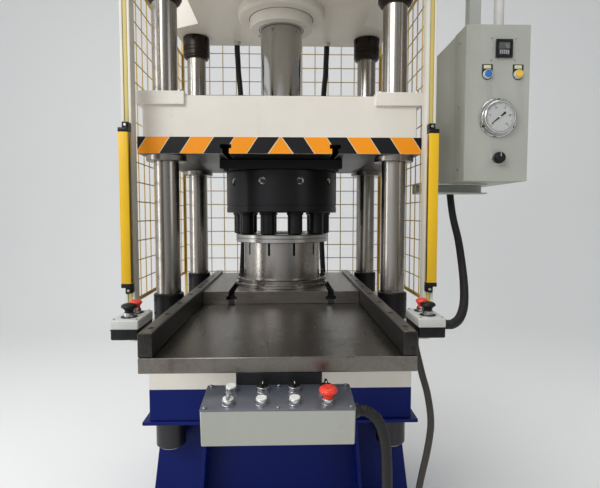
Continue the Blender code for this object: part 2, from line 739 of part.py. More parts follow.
def main_cylinder():
    """Cylinder body with its gland below the crown, its nut above it and an open bore for the rod."""
    bore = ROD_R + RUNNING
    roomy = ROD_R + 0.016
    under = CROWN_Z - SEAT
    flange = under - CYL_FLANGE_T
    gland = flange - GLAND_T
    nut = CROWN_TOP + SEAT
    ceiling = CYL_TOP - CYL_CAP_T
    profile = [
        (bore, gland),
        (GLAND_R - 0.003, gland),
        (GLAND_R, gland + 0.003),
        (GLAND_R, flange),
        (CYL_FLANGE_R - 0.003, flange),
        (CYL_FLANGE_R, flange + 0.003),
        (CYL_FLANGE_R, under),
        (CYL_BODY_R, under),
        (CYL_BODY_R, nut),
        (CYL_NUT_R, nut),
        (CYL_NUT_R, nut + CYL_NUT_H),
        (CYL_BODY_R, nut + CYL_NUT_H),
        (CYL_BODY_R, CYL_TOP - 0.006),
        (CYL_BODY_R - 0.006, CYL_TOP),
        (0.0, CYL_TOP),
    ]
    inner = [(0.0, ceiling), (roomy, ceiling), (roomy, CROWN_Z + 0.02), (bore, CROWN_Z + 0.02)]
    outer_shape = [(0.0, gland)] + profile[1:]
    body = piece("main_cylinder", turned(outer_shape, ROD_SIDES), CREAM, smooth=40)
    hollow = [(0.0, gland - 0.01), (bore, gland - 0.01)] + list(reversed(inner))
    cut(body, turned(hollow, ROD_SIDES))


def curtain_post(side, name):
    """Grooved upright with a lug to the bed's front and one to the crown's front."""
    half = POST_W / 2
    x = side * POST_X
    front = POST_Y - half
    groove = GROOVE_W / 2
    outline = [(x - half, front), (x - groove, front), (x - groove, front + GROOVE_DEPTH),
               (x + groove, front + GROOVE_DEPTH), (x + groove, front), (x + half, front),
               (x + half, POST_Y + half), (x - half, POST_Y + half)]
    post = piece("curtain_post_" + name, prism(outline, POST_FOOT_Z, POST_TOP_Z), CREAM)
    low_x, high_x = sorted((side * (POST_X + half), side * (POST_X - POST_LUG_IN)))
    add(post, block((low_x, POST_Y + half - 0.012, POST_FOOT_Z - POST_LUG_H / 2),
                    (high_x, -BED_D / 2 - SEAT, POST_FOOT_Z + POST_LUG_H / 2 - 0.012)))
    add(post, block((low_x, POST_Y + half - 0.012, POST_TOP_Z - 2 * POST_LUG_H),
                    (high_x, -CROWN_D / 2 - SEAT, POST_TOP_Z - POST_LUG_H)))


def curtain_bar(side, name):
    """Sensor bar with an end cap and a clamp at each end, seated on its post."""
    x = side * BAR_X
    back = POST_Y - POST_W / 2 - SEAT - 0.004
    half = BAR_W / 2
    bar = piece("curtain_bar_" + name, block((x - half, back - BAR_D, BAR_LOW), (x + half, back, BAR_HIGH)),
                YELLOW_PAINT)
    inset = 0.002
    for low, high in ((BAR_LOW - BAR_CAP_H, BAR_LOW + 0.004), (BAR_HIGH - 0.004, BAR_HIGH + BAR_CAP_H)):
        add(bar, block((x - half + inset, back - BAR_D + inset, low), (x + half - inset, back - inset, high)))
    lug_half = half - 0.006
    for low in (BAR_LOW - BAR_LUG_H, BAR_HIGH):
        add(bar, block((x - lug_half, back - BAR_LUG_D, low), (x + lug_half, back + 0.004, low + BAR_LUG_H)))


def wire_guard(gaps, width, low, high):
    """A flat lattice in the X-Z plane with a wider border, standing on its middle line."""
    shape = bmesh.new()

    def stations(start, end, count):
        inner = (end - start - 2 * GUARD_BORDER + GUARD_WIRE) / count
        spots = [start]
        for step in range(count):
            spots.append(start + GUARD_BORDER + step * inner)
            spots.append(start + GUARD_BORDER + (step + 1) * inner - GUARD_WIRE)
        return spots + [end]

    across = stations(-width / 2, width / 2, gaps[0])
    upward = stations(low, high, gaps[1])
    grid = [[shape.verts.new((x, 0.0, z)) for x in across] for z in upward]
    faces = []
    for row in range(len(upward) - 1):
        for column in range(len(across) - 1):
            if row % 2 == 1 and column % 2 == 1:
                continue
            corners = (grid[row][column], grid[row][column + 1], grid[row + 1][column + 1], grid[row + 1][column])
            faces.append(shape.faces.new(corners))
    grown = bmesh.ops.extrude_face_region(shape, geom=faces)
    moved = [item for item in grown["geom"] if isinstance(item, bmesh.types.BMVert)]
    bmesh.ops.translate(shape, vec=(0.0, GUARD_T, 0.0), verts=moved)
    return shape


def guards():
    start = POST_Y + POST_W / 2 + SEAT
    length = GUARD_BACK_Y - SEAT - start
    for side, name in ((-1, "left"), (1, "right")):
        shape = wire_guard(SIDE_GAPS, length, GUARD_LOW, GUARD_HIGH)
        piece("side_guard_" + name, shape, YELLOW_PAINT, turn=(0.0, 0.0, math.pi / 2),
              place=(side * POST_X + GUARD_T / 2, start + length / 2, 0.0))
    width = 2 * POST_X + GUARD_T
    lattice = wire_guard(BACK_GAPS, width, BACK_GUARD_LOW, BACK_GUARD_HIGH)
    back = piece("back_guard", lattice, YELLOW_PAINT, place=(0.0, GUARD_BACK_Y, 0.0))
    for side in (-1, 1):
        low_x, high_x = sorted((side * SPAN_X / 2, side * (SPAN_X / 2 + BRACE_W)))
        for low, face in ((BACK_GUARD_LOW, BED_D / 2), (BACK_GUARD_HIGH - GUARD_BORDER, CROWN_D / 2)):
            brace = block((low_x, face + SEAT, low), (high_x, GUARD_BACK_Y + 0.002, low + GUARD_BORDER))
            add(back, brace)


def cap_bore(depth):
    """Cutter for the hole that a push cap runs in, from above its bezel down past the panel."""
    return rod_shape(CAP_R + RUNNING, -depth, BEZEL_H + 0.01, CONTROL_SIDES)


def bezel():
    edge = 0.002
    return turned([(0.0, -0.0015), (BEZEL_R, -0.0015), (BEZEL_R, BEZEL_H - edge), (BEZEL_R - edge, BEZEL_H),
                   (0.0, BEZEL_H)], CONTROL_SIDES)


def push_cap(name, panel, spot, finish, foot):
    """Flat push cap on its own axis, normal to the panel. Foot is how deep its stem reaches."""
    axis = carrier(name + "_axis", spot, panel)
    edge = 0.0015
    top = BEZEL_H + CAP_PROUD
    shape = turned([(0.0, -foot), (CAP_R, -foot), (CAP_R, top - edge), (CAP_R - edge, top), (0.0, top)],
                   CONTROL_SIDES)
    return piece(name, shape, finish, parent=axis, smooth=40)


def mushroom(name, panel, spot, finish, foot, radius):
    axis = carrier(name + "_axis", spot, panel)
    lift = BEZEL_H + MUSHROOM_LIFT
    waist = CAP_R + 0.35 * (radius - CAP_R)
    shape = turned([(0.0, -foot), (CAP_R, -foot), (CAP_R, BEZEL_H + BUTTON_TRAVEL + 0.001), (waist, lift - 0.004),
                    (radius - 0.001, lift), (radius, lift + 0.003), (radius - 0.002, lift + MUSHROOM_H - 0.003),
                    (0.7 * radius, lift + MUSHROOM_H), (0.0, lift + MUSHROOM_H)], CONTROL_SIDES)
    return piece(name, shape, finish, parent=axis, smooth=40)


def selector(name, panel, spot, finish, foot):
    """Turning switch: a round stem with a raised grip bar."""
    axis = carrier(name + "_axis", spot, panel)
    top = BEZEL_H + 0.003
    shape = turned([(0.0, -foot), (CAP_R, -foot), (CAP_R, top), (0.0, top)], CONTROL_SIDES)
    knob = piece(name, shape, finish, parent=axis, smooth=40)
    grip = block((-KNOB_W / 2, -KNOB_LENGTH / 2, top - 0.002), (KNOB_W / 2, KNOB_LENGTH / 2, top + KNOB_H))
    add(knob, grip)
    return knob


def hang(box):
    """Bent plate from the table's underside down to the back of the sloping box."""
    back_top = CONSOLE_FRONT_TOP + CONSOLE_D * math.sin(CONSOLE_TILT)
    behind = CONSOLE_FRONT + CONSOLE_D * math.cos(CONSOLE_TILT) + LID_OUT + 2 * SEAT
    low = back_top - 0.8 * CONSOLE_H
    lean = math.tan(CONSOLE_TILT)
    top = BED_TOP - SEAT
    drop = top - HANGER_T
    far = TABLE_FRONT + HANGER_REACH
    outline = [
        (behind + (back_top - low) * lean, low),
        (behind + HANGER_T + (back_top - low) * lean, low),
        (behind + HANGER_T + (back_top - drop) * lean, drop),
        (far, drop),
        (far, top),
        (behind + (back_top - top) * lean, top),
    ]
    upright = Matrix.Rotation(-CONSOLE_TILT, 3, "X")
    corner = upright @ Vector((0.0, -CONSOLE_FRONT, -CONSOLE_FRONT_TOP))
    add(box, prism(outline, -HANGER_W / 2, HANGER_W / 2, "X"), place=corner, turn=(-CONSOLE_TILT, 0.0, 0.0))
    add(box, block((-HANGER_W / 2, CONSOLE_D - CONSOLE_WALL / 2, -0.7 * CONSOLE_H),
                   (HANGER_W / 2, CONSOLE_D + HANGER_T / 2, -LID_T - 0.003)))


def console():
    """Sloping operator box with a bright lid, hung from the table plate's front edge."""
    slope = carrier("console_slope", (0.0, CONSOLE_FRONT, CONSOLE_FRONT_TOP), turn=(CONSOLE_TILT, 0.0, 0.0))
    half = CONSOLE_W / 2
    shell = block((-half, 0.0, -CONSOLE_H), (half, CONSOLE_D, -LID_T - SEAT))
    box = piece("console_box", shell, GREY_PAINT, parent=slope)
    bevelled(box, 0.002)
    wall = CONSOLE_WALL
    cut(box, block((wall - half, wall, wall - CONSOLE_H), (half - wall, CONSOLE_D - wall, 0.01)))
    hang(box)
    upright = Matrix.Rotation(-CONSOLE_TILT, 3, "X")
    spot = Vector((half, CONSOLE_CORD_Y - CONSOLE_FRONT, CONSOLE_CORD_Z - CONSOLE_FRONT_TOP))
    gland(box, upright @ spot, "right", 0.9 * CONDUIT_R)
    lid_half = half + LID_OUT
    cover = block((-lid_half, -LID_OUT, -LID_T), (lid_half, CONSOLE_D + LID_OUT, 0.0))
    lid = piece("console_lid", cover, LID_STEEL, parent=slope)
    rows = (("front", CONTROL_FRONT_V), ("back", CONTROL_BACK_V))
    spots = [(row, index, ((index - 1.5) * CONTROL_PITCH, v, 0.0)) for row, v in rows for index in range(4)]
    for row, index, spot in spots:
        add(lid, bezel(), place=spot)
    for row, index, spot in spots:
        cut(lid, cap_bore(LID_T + 0.002), place=spot)
    foot = LID_T + STEM_BELOW
    makers = {
        ("front", 0): lambda name, spot: selector(name, slope, spot, WHITE_PLASTIC, foot),
        ("front", 1): lambda name, spot: push_cap(name, slope, spot, WHITE_PLASTIC, foot),
        ("front", 2): lambda name, spot: push_cap(name, slope, spot, WHITE_PLASTIC, foot),
        ("front", 3): lambda name, spot: mushroom(name, slope, spot, RED_PLASTIC, foot, MUSHROOM_R),
        ("back", 0): lambda name, spot: push_cap(name, slope, spot, WHITE_PLASTIC, foot),
        ("back", 1): lambda name, spot: selector(name, slope, spot, BLACK_PLASTIC, foot),
        ("back", 2): lambda name, spot: selector(name, slope, spot, BLACK_PLASTIC, foot),
        ("back", 3): lambda name, spot: selector(name, slope, spot, BLACK_PLASTIC, foot),
    }
    names = {
        ("front", 0): "mode_selector",
        ("front", 1): "up_button",
        ("front", 2): "down_button",
        ("front", 3): "console_stop",
        ("back", 0): "start_button",
        ("back", 1): "pump_selector",
        ("back", 2): "ejector_selector",
        ("back", 3): "key_selector",
    }
    for row, index, spot in spots:
        makers[(row, index)](names[(row, index)], spot)


def hand_box(side, name):
    """Two-button box beside the table, on a flat bracket from the table's edge."""
    x = side * HAND_X
    half = HAND_W / 2
    top = HAND_BOTTOM + HAND_H
    shell = block((x - half, HAND_FRONT, HAND_BOTTOM), (x + half, HAND_FRONT + HAND_L, top))
    box = piece("hand_box_" + name, shell, WHITE_PLASTIC)
    bevelled(box, 0.004)
    middle = HAND_FRONT + HAND_L / 2
    inner, outer = sorted((side * (TABLE_W / 2 + SEAT), side * (HAND_X + half / 2)))
    add(box, block((inner, middle - HAND_BRACKET_L / 2, HAND_BOTTOM - HAND_BRACKET_T),
                   (outer, middle + HAND_BRACKET_L / 2, HAND_BOTTOM + 0.002)))
    if side == 1:
        gland(box, (x + half, HAND_GLAND_Y, HAND_GLAND_Z), "right", CONDUIT_R)
        under = HAND_BOTTOM - HAND_BRACKET_T
        gland(box, (HAND_CABLE_X, HAND_GLAND_Y, under), "down", CABLE_R, HAND_GLAND_L)
    panel = carrier("hand_panel_" + name, (x, HAND_FRONT, top))
    for v in (HAND_FRONT_V, HAND_BACK_V):
        add(box, bezel(), place=(x, HAND_FRONT + v, top))
    for v in (HAND_FRONT_V, HAND_BACK_V):
        cut(box, cap_bore(HAND_BORE), place=(x, HAND_FRONT + v, top))
    foot = HAND_BORE - BUTTON_TRAVEL - PRESSED_GAP
    mushroom("palm_button_" + name, panel, (0.0, HAND_FRONT_V, 0.0), BLACK_PLASTIC, foot, HAND_PALM_R)
    mushroom("hand_stop_" + name, panel, (0.0, HAND_BACK_V, 0.0), RED_PLASTIC, foot, HAND_STOP_R)


def legend(x, z, face):
    """Bare plate round a lamp button, with its foot rounded about the button."""
    steps = 8
    foot = [(x - LEGEND_R * math.cos(math.pi * k / steps), z - LEGEND_R * math.sin(math.pi * k / steps))
            for k in range(steps + 1)]
    outline = foot + [(x + LEGEND_R, z + LEGEND_RISE), (x - LEGEND_R, z + LEGEND_RISE)]
    return prism(outline, face - LEGEND_T, face + 0.001, "Y")


def hinge_knuckle(low):
    return rod_shape(HINGE_R, low, low + HINGE_H - SEAT, 12)


def cabinet():
    """Open sheet-metal body, with a deep door on a two-knuckle hinge at its right."""
    right = CAB_LEFT + CAB_W
    front = CAB_BACK_Y - CAB_D
    top = CAB_Z + CAB_H
    body = piece("cabinet_body", block((CAB_LEFT, front, CAB_Z), (right, CAB_BACK_Y, top)), GREY_PAINT)
    cut(body, block((CAB_LEFT + CAB_WALL, front - 0.05, CAB_Z + CAB_WALL),
                    (right - CAB_WALL, CAB_BACK_Y - CAB_WALL, top - CAB_WALL)))
    gland(body, (CAB_CORD_X, CAB_CORD_Y, CAB_Z), "down", CONDUIT_R)
    gland(body, (RISER_X, RISER_START_Y, top), "up", RISER_R)
    leaf_t = 0.003
    leaf_end = -0.0013
    for low in (CAB_Z + HINGE_INSET, top - HINGE_INSET - 2 * HINGE_H):
        add(body, hinge_knuckle(low), place=(HINGE_X, HINGE_Y, 0.0))
        add(body, block((right - 0.002, front + 0.001, low + 0.001),
                        (HINGE_X + leaf_end, front + 0.001 + leaf_t, low + HINGE_H - 0.002)))
    hinge = carrier("door_hinge", (HINGE_X, HINGE_Y, 0.0))
    left_x = CAB_LEFT - DOOR_OUT - HINGE_X
    right_x = right - HINGE_X
    back_y = -DOOR_GAP / 2
    front_y = DOOR_FRONT - HINGE_Y
    door = piece("cabinet_door", block((left_x, front_y, CAB_Z), (right_x, back_y, top)), GREY_PAINT, parent=hinge)
    cut(door, block((left_x + CAB_WALL, front_y + CAB_WALL, CAB_Z + CAB_WALL),
                    (right_x - CAB_WALL, back_y + 0.05, top - CAB_WALL)))
    for low in (CAB_Z + HINGE_INSET + HINGE_H, top - HINGE_INSET - HINGE_H):
        add(door, hinge_knuckle(low))
        add(door, block((right_x - 0.002, back_y - 0.001 - leaf_t, low + 0.001),
                        (leaf_end, back_y - 0.001, low + HINGE_H - 0.002)))
    middle = (left_x + DOOR_OUT + right_x) / 2
    meter_low = CAB_Z + METER_UP - METER_H / 2
    meter_left = middle + METER_SHIFT - METER_W / 2
    meter_right = meter_left + METER_W
    add(door, block((meter_left, front_y - METER_T, meter_low),
                    (meter_right, front_y + 0.001, meter_low + METER_H)))
    cut(door, block((meter_left + 0.008, front_y - METER_T - 0.01, meter_low + 0.008),
                    (meter_right - 0.008, front_y - METER_T + METER_RECESS, meter_low + METER_H - 0.008)))
    facing = (math.pi / 2, 0.0, 0.0)
    boss = CAP_R + RUNNING + 0.004
    socket = [(0.0, -BOSS_DEPTH), (boss, -BOSS_DEPTH), (boss, -0.0015), (BEZEL_R, -0.0015),
              (BEZEL_R, BEZEL_H - 0.002), (BEZEL_R - 0.002, BEZEL_H), (0.0, BEZEL_H)]
    pair = middle + PANEL_BUTTON_SHIFT
    controls = [(pair - PANEL_BUTTON_PITCH / 2, CAB_Z + PANEL_BUTTON_UP),
                (pair + PANEL_BUTTON_PITCH / 2, CAB_Z + PANEL_BUTTON_UP),
                (middle + DIAL_SHIFT, CAB_Z + DIAL_UP)]
    for x, z in controls[:2]:
        add(door, legend(x, z, front_y))
    for x, z in controls:
        add(door, turned(socket, CONTROL_SIDES), place=(x, front_y, z), turn=facing)
    for x, z in controls:
        cut(door, cap_bore(HAND_BORE), place=(x, front_y, z), turn=facing)
    panel = carrier("door_panel", (0.0, front_y, 0.0), hinge, facing)
    foot = HAND_BORE - BUTTON_TRAVEL - PRESSED_GAP
    lamps = (("lamp_button_blue", BLUE_PLASTIC), ("lamp_button_yellow", YELLOW_PAINT))
    for (x, z), (name, finish) in zip(controls, lamps):
        push_cap(name, panel, (x, z, 0.0), finish, foot)
    x, z = controls[2]
    dial_axis = carrier("dial_knob_axis", (x, z, 0.0), panel)
    rise = BEZEL_H + SEAT
    dial = turned([(0.0, -foot), (CAP_R, -foot), (CAP_R, rise), (DIAL_R, rise), (DIAL_R, rise + DIAL_H - 0.003),
                   (DIAL_R - 0.003, rise + DIAL_H), (0.0, rise + DIAL_H)], CONTROL_SIDES)
    piece("dial_knob", dial, BLACK_PLASTIC, parent=dial_axis, smooth=40)
    gauge = turned([(0.0, SEAT), (GAUGE_R - 0.002, SEAT), (GAUGE_R, 0.002), (GAUGE_R, GAUGE_T),
                    (GAUGE_BODY_R, GAUGE_T), (GAUGE_BODY_R, GAUGE_PROUD - 0.003),
                    (GAUGE_BODY_R - 0.003, GAUGE_PROUD), (GAUGE_BODY_R - 0.008, GAUGE_PROUD),
                    (GAUGE_BODY_R - 0.010, GAUGE_PROUD - 0.006), (0.0, GAUGE_PROUD - 0.006)], DIE_SIDES)
    piece("pressure_gauge", gauge, CHROME, (middle, CAB_Z + GAUGE_UP, 0.0), panel, smooth=40)


def cabinet_supports():
    """Square tube down from the crown's side, and the channel shelf under the cabinet."""
    x = CAB_LEFT + ARM_INSET
    half = ARM_TUBE / 2
    upright = block((x - half, ARM_Y - half, CAB_Z + CAB_H + SEAT), (x + half, ARM_Y + half, ARM_TOP))
    arm = piece("cabinet_arm", upright, GREY_PAINT)
    add(arm, block((CROWN_W / 2 + SEAT, ARM_Y - half, ARM_TOP - ARM_TUBE),
                   (x + half - 0.001, ARM_Y + half, ARM_TOP)))
    add(arm, block((CROWN_W / 2 + SEAT, ARM_Y - 1.6 * half, ARM_TOP - 1.4 * ARM_TUBE),
                   (CROWN_W / 2 + 0.010, ARM_Y + 1.6 * half, ARM_TOP + 0.4 * ARM_TUBE)))
    top = CAB_Z - SEAT
    y0 = SHELF_Y - SHELF_D / 2
    outline = [(y0, top), (y0, top - SHELF_WEB), (y0 + SHELF_D - SHELF_WEB, top - SHELF_WEB),
               (y0 + SHELF_D - SHELF_WEB, top - SHELF_H + SHELF_WEB), (y0, top - SHELF_H + SHELF_WEB),
               (y0, top - SHELF_H), (y0 + SHELF_D, top - SHELF_H), (y0 + SHELF_D, top)]
    start = POST_X + GUARD_T / 2 + SEAT
    piece("cabinet_shelf", prism(outline, start, SHELF_END, "X"), GREY_PAINT)


def smooth_route(points, steps):
    """Points on a smooth curve through the route's own points. The first and last stretch stay straight."""
    spots = [Vector(points[0])]
    for before, start, end, after in zip(points, points[1:], points[2:], points[3:]):
        a, b, c, d = (Vector(p) for p in (before, start, end, after))
        for step in range(steps):
            t = step / steps
            spots.append(0.5 * (2 * b + (c - a) * t + (2 * a - 5 * b + 4 * c - d) * t ** 2
                                + (3 * b - a - 3 * c + d) * t ** 3))
    return spots + [Vector(points[-2]), Vector(points[-1])]


def cord(name, route, radius, finish=CABLE_RUBBER, steps=2):
    line = bpy.data.curves.new(name, "CURVE")
    line.dimensions = "3D"
    line.bevel_depth = radius
    line.bevel_resolution = 2
    line.use_fill_caps = True
    spline = line.splines.new("POLY")
    spots = smooth_route(route, steps)
    spline.points.add(len(spots) - 1)
    for point, spot in zip(spline.points, spots):
        point.co = (*spot, 1.0)
    made = bpy.data.objects.new(name, line)
    made.parent = centre
    line.materials.append(finish)
    bpy.context.scene.collection.objects.link(made)
    return made


def cords():
    """Conduits and hoses, each ending against the piece that it runs into."""
    cord("cabinet_conduit", [
        (CAB_CORD_X, CAB_CORD_Y, CAB_Z - GLAND_L - SEAT),
        (CAB_CORD_X, CAB_CORD_Y, 1.280),
        (CAB_CORD_X + 0.002, -0.155, 1.195),
        (CAB_CORD_X + 0.003, -0.215, 1.106),
        (CAB_CORD_X - 0.015, -0.300, 1.033),
        (CAB_CORD_X - 0.043, -0.400, 0.966),
        (HAND_OUT + 0.127, -0.512, 0.917),
        (HAND_OUT + 0.080, -0.602, 0.893),
        (HAND_OUT + 0.037, HAND_GLAND_Y, HAND_GLAND_Z),
        (HAND_OUT + GLAND_L + SEAT, HAND_GLAND_Y, HAND_GLAND_Z),
    ], CONDUIT_R)
    cord("console_conduit", [
        (CONSOLE_W / 2 + GLAND_L + SEAT, CONSOLE_CORD_Y, CONSOLE_CORD_Z),
        (CONSOLE_W / 2 + 0.028, CONSOLE_CORD_Y, CONSOLE_CORD_Z),
        (0.221, -0.944, 0.742),
        (0.241, -0.938, 0.690),
        (0.250, -0.925, 0.600),
        (0.256, -0.895, 0.450),
        (0.266, -0.840, 0.280),
        (0.285, -0.745, 0.120),
        (0.305, -0.630, 0.050),
        (0.322, -0.500, 0.040),
        (0.330, -0.400, 0.060),
        (0.330, -0.340, 0.100),
        (CONSOLE_CORD_X, -0.285, BASE_GLAND_Z),
        (CONSOLE_CORD_X, BASE_GLAND_Y, BASE_GLAND_Z),
    ], CONDUIT_R * 0.9)
    cord("hand_cable", [
        (HAND_CABLE_X, HAND_GLAND_Y, HAND_BOTTOM - HAND_BRACKET_T - HAND_GLAND_L - SEAT),
        (HAND_CABLE_X, HAND_GLAND_Y, 0.835),
        (HAND_X - 0.009, -0.655, 0.750),
        (HAND_X + 0.011, -0.652, 0.680),
        (HAND_X + 0.024, -0.645, 0.596),
        (HAND_X + 0.019, -0.635, 0.512),
        (HAND_X + 0.005, -0.615, 0.400),
        (0.410, -0.570, 0.230),
        (0.402, -0.510, 0.100),
        (0.396, -0.430, 0.045),
        (0.392, -0.350, 0.055),
        (0.392, -0.320, 0.090),
        (HAND_CORD_X, -0.275, BASE_GLAND_Z),
        (HAND_CORD_X, BASE_GLAND_Y, BASE_GLAND_Z),
    ], CABLE_R)
    cord("cabinet_riser", [
        (RISER_X, RISER_START_Y, CAB_Z + CAB_H + GLAND_L + SEAT),
        (RISER_X, RISER_START_Y, 2.000),
        (RISER_X, -0.207, 2.140),
        (RISER_X - 0.016, -0.215, 2.240),
        (RISER_X - 0.071, -0.230, 2.320),
        (CROWN_W / 2 + 0.160, -0.250, 2.357),
        (CROWN_W / 2 + 0.060, RISER_Y, RISER_Z),
        (CROWN_W / 2 + GLAND_L + SEAT, RISER_Y, RISER_Z),
    ], RISER_R, WHITE_PLASTIC)
    for side, name in ((-1, "left"), (1, "right")):
        cord("back_hose_" + name, [
            (side * HOSE_X, HOSE_TOP_Y, CROWN_Z - GLAND_L - SEAT),
            (side * HOSE_X, HOSE_TOP_Y, 1.993),
            (side * HOSE_X, 0.378, 1.945),
            (side * HOSE_X, 0.408, 1.895),
            (side * (HOSE_X - 0.008), HOSE_Y, 1.800),
            (side * (HOSE_X - 0.024), HOSE_Y, 1.500),
            (side * (HOSE_X - 0.020), HOSE_Y, 1.150),
            (side * (HOSE_X - 0.006), HOSE_Y, HOSE_LOW + 0.110),
            (side * HOSE_X, HOSE_Y, HOSE_LOW + 0.050),
            (side * HOSE_X, HOSE_Y - 0.006, HOSE_LOW + 0.016),
            (side * HOSE_X, HOSE_Y - 0.022, HOSE_LOW),
            (side * HOSE_X, BED_D / 2 + BED_GLAND_L + SEAT, HOSE_LOW),
        ], HOSE_R, steps=1)


slide_axis = carrier("slide_axis", (0.0, 0.0, 0.0))
base_frame()
bed()
columns()
feed_table()
bolster()
lower_die()
crown()
main_cylinder()
slide(slide_axis)
upper_tool(slide_axis)
for hand, word in ((-1, "left"), (1, "right")):
    curtain_post(hand, word)
    curtain_bar(hand, word)
    hand_box(hand, word)
guards()
console()
cabinet()
cabinet_supports()
cords()
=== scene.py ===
import math

import bmesh
import bpy
from mathutils import Matrix, Vector


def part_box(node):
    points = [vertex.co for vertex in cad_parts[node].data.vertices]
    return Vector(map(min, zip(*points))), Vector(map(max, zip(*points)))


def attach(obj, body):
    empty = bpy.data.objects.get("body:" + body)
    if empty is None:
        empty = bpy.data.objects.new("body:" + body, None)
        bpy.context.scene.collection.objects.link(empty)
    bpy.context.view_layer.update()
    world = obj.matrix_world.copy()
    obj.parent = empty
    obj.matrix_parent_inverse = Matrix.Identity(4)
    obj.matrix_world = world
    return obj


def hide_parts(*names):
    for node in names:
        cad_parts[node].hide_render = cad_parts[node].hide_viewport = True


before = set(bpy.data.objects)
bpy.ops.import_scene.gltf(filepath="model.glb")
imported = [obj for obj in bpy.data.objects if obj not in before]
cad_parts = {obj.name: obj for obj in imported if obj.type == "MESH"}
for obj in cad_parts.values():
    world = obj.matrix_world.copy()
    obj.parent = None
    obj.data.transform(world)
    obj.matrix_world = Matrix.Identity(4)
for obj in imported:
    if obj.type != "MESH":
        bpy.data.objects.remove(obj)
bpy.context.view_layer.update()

scene = bpy.context.scene
seat = 0.0003  # gap between faces that touch
bothSides = ((-1, "left"), (1, "right"))

# every piece is measured from the middle of the four columns
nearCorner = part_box("column_front_left")[0]
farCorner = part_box("column_back_right")[1]
pressX = (nearCorner[0] + farCorner[0]) / 2
pressY = (nearCorner[1] + farCorner[1]) / 2


def nodeBox(name):
    low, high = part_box(name)
    return [low[0] - pressX, low[1] - pressY, low[2]], [high[0] - pressX, high[1] - pressY, high[2]]


def feed(tree, socket, value):
    if isinstance(value, Wire):
        tree.links.new(value.out, socket)
    elif isinstance(value, tuple) and socket.type == "RGBA":
        socket.default_value = (*value, 1.0)
    else:
        socket.default_value = value


class Graph:  # any node tree: a material's, the world's or Geometry Nodes'
    def __init__(self, tree):
        self.tree = tree

    def node(self, kind, settings=None, inputs=None, out=0):
        made = self.tree.nodes.new(kind)
        for key, value in (settings or {}).items():
            setattr(made, key, value)
        for key, value in (inputs or {}).items():
            feed(self.tree, made.inputs[key], value)
        return Wire(self.tree, made.outputs[out]) if made.outputs else made


class Wire:  # a socket that takes part in Python expressions
    def __init__(self, tree, out):
        self.tree = tree
        self.out = out

    def maths(self, operation, *terms):
        return Graph(self.tree).node("ShaderNodeMath", {"operation": operation}, dict(enumerate(terms)))

    def __abs__(self):
        return self.maths("ABSOLUTE", self)

    def most(self, other):
        return self.maths("MAXIMUM", self, other)

    def fraction(self):
        return self.maths("FRACT", self)

    def sine(self):
        return self.maths("SINE", self)

    def ease(self, low, high, start=0.0, end=1.0):  # start below low, end above high
        return Graph(self.tree).node("ShaderNodeMapRange", {"interpolation_type": "SMOOTHSTEP"},
                                     {0: self, 1: low, 2: high, 3: start, 4: end})


def operator(operation, turned=False):
    def work(self, other):
        return self.maths(operation, other, self) if turned else self.maths(operation, self, other)
    return work


for word, operation in (("add", "ADD"), ("sub", "SUBTRACT"), ("mul", "MULTIPLY"), ("truediv", "DIVIDE")):
    setattr(Wire, f"__{word}__", operator(operation))
    setattr(Wire, f"__r{word}__", operator(operation, True))
Wire.__lt__ = operator("LESS_THAN")
Wire.__gt__ = operator("GREATER_THAN")


def shade(color, share):
    return tuple(part * share for part in color)


class Finish(Graph):
    def __init__(self, name, shine=0.5):
        self.material = bpy.data.materials.new(name)
        self.material.use_nodes = True
        super().__init__(self.material.node_tree)
        self.shader = self.tree.nodes["Principled BSDF"]
        self.shader.inputs["Specular IOR Level"].default_value = shine
        self.spot = self.node("ShaderNodeTexCoord", out="Object")

    def axes(self):
        split = self.node("ShaderNodeSeparateXYZ", None, {0: self.spot}).out.node
        return [Wire(self.tree, out) for out in split.outputs]

    def noise(self, scale, detail=4.0, rough=0.6, stretch=None):
        where = self.spot
        if stretch:
            where = self.node("ShaderNodeMapping", None, {"Vector": self.spot, "Scale": stretch})
        return self.node("ShaderNodeTexNoise", None,
                         {"Vector": where, "Scale": scale, "Detail": detail, "Roughness": rough})

    def mix(self, factor, first, second):
        return self.node("ShaderNodeMix", {"data_type": "RGBA"}, {0: factor, 6: first, 7: second}, out=2)

    def clouds(self, share, color, darker):  # broad soft change of tone, and the noise behind it
        broad = self.noise(3.0, 5.0, 0.6)
        return broad, self.mix(broad.ease(0.35, 0.70) * share, color, darker)

    def streaks(self, scale=9.0, low=0.60, high=0.82, stretch=0.22):  # dirt that ran down
        long = self.noise(scale, 4.0, 0.65, (1.0, 1.0, stretch))
        return long.ease(low, high) * self.noise(60.0, 3.0, 0.7).ease(0.35, 0.75)

    def stains(self, share):  # oil marks on bare metal
        return self.noise(5.0, 5.0, 0.6).ease(0.50, 0.78) * self.noise(26.0, 4.0, 0.7).ease(0.35, 0.70) * share

    def use(self, color, rough, height, strength, distance, metal=0.0):
        bump = self.node("ShaderNodeBump", None, {"Height": height, "Strength": strength, "Distance": distance})
        for key, value in (("Base Color", color), ("Roughness", rough), ("Metallic", metal), ("Normal", bump)):
            feed(self.tree, self.shader.inputs[key], value)
        return self.material


print("finishes")


def paint(name, color, rough=0.42, wear=0.5, grime=(0.20, 0.18, 0.15), shine=0.5):
    f = Finish(name, shine)
    broad, tone = f.clouds(0.7, color, shade(color, 0.86))
    dirt = f.streaks() * wear
    tone = f.mix(dirt, tone, grime)
    return f.use(tone, rough + (broad - 0.5) * 0.16 + dirt * 0.25, f.noise(420.0, 2.0, 0.5), 0.35, 0.00025)


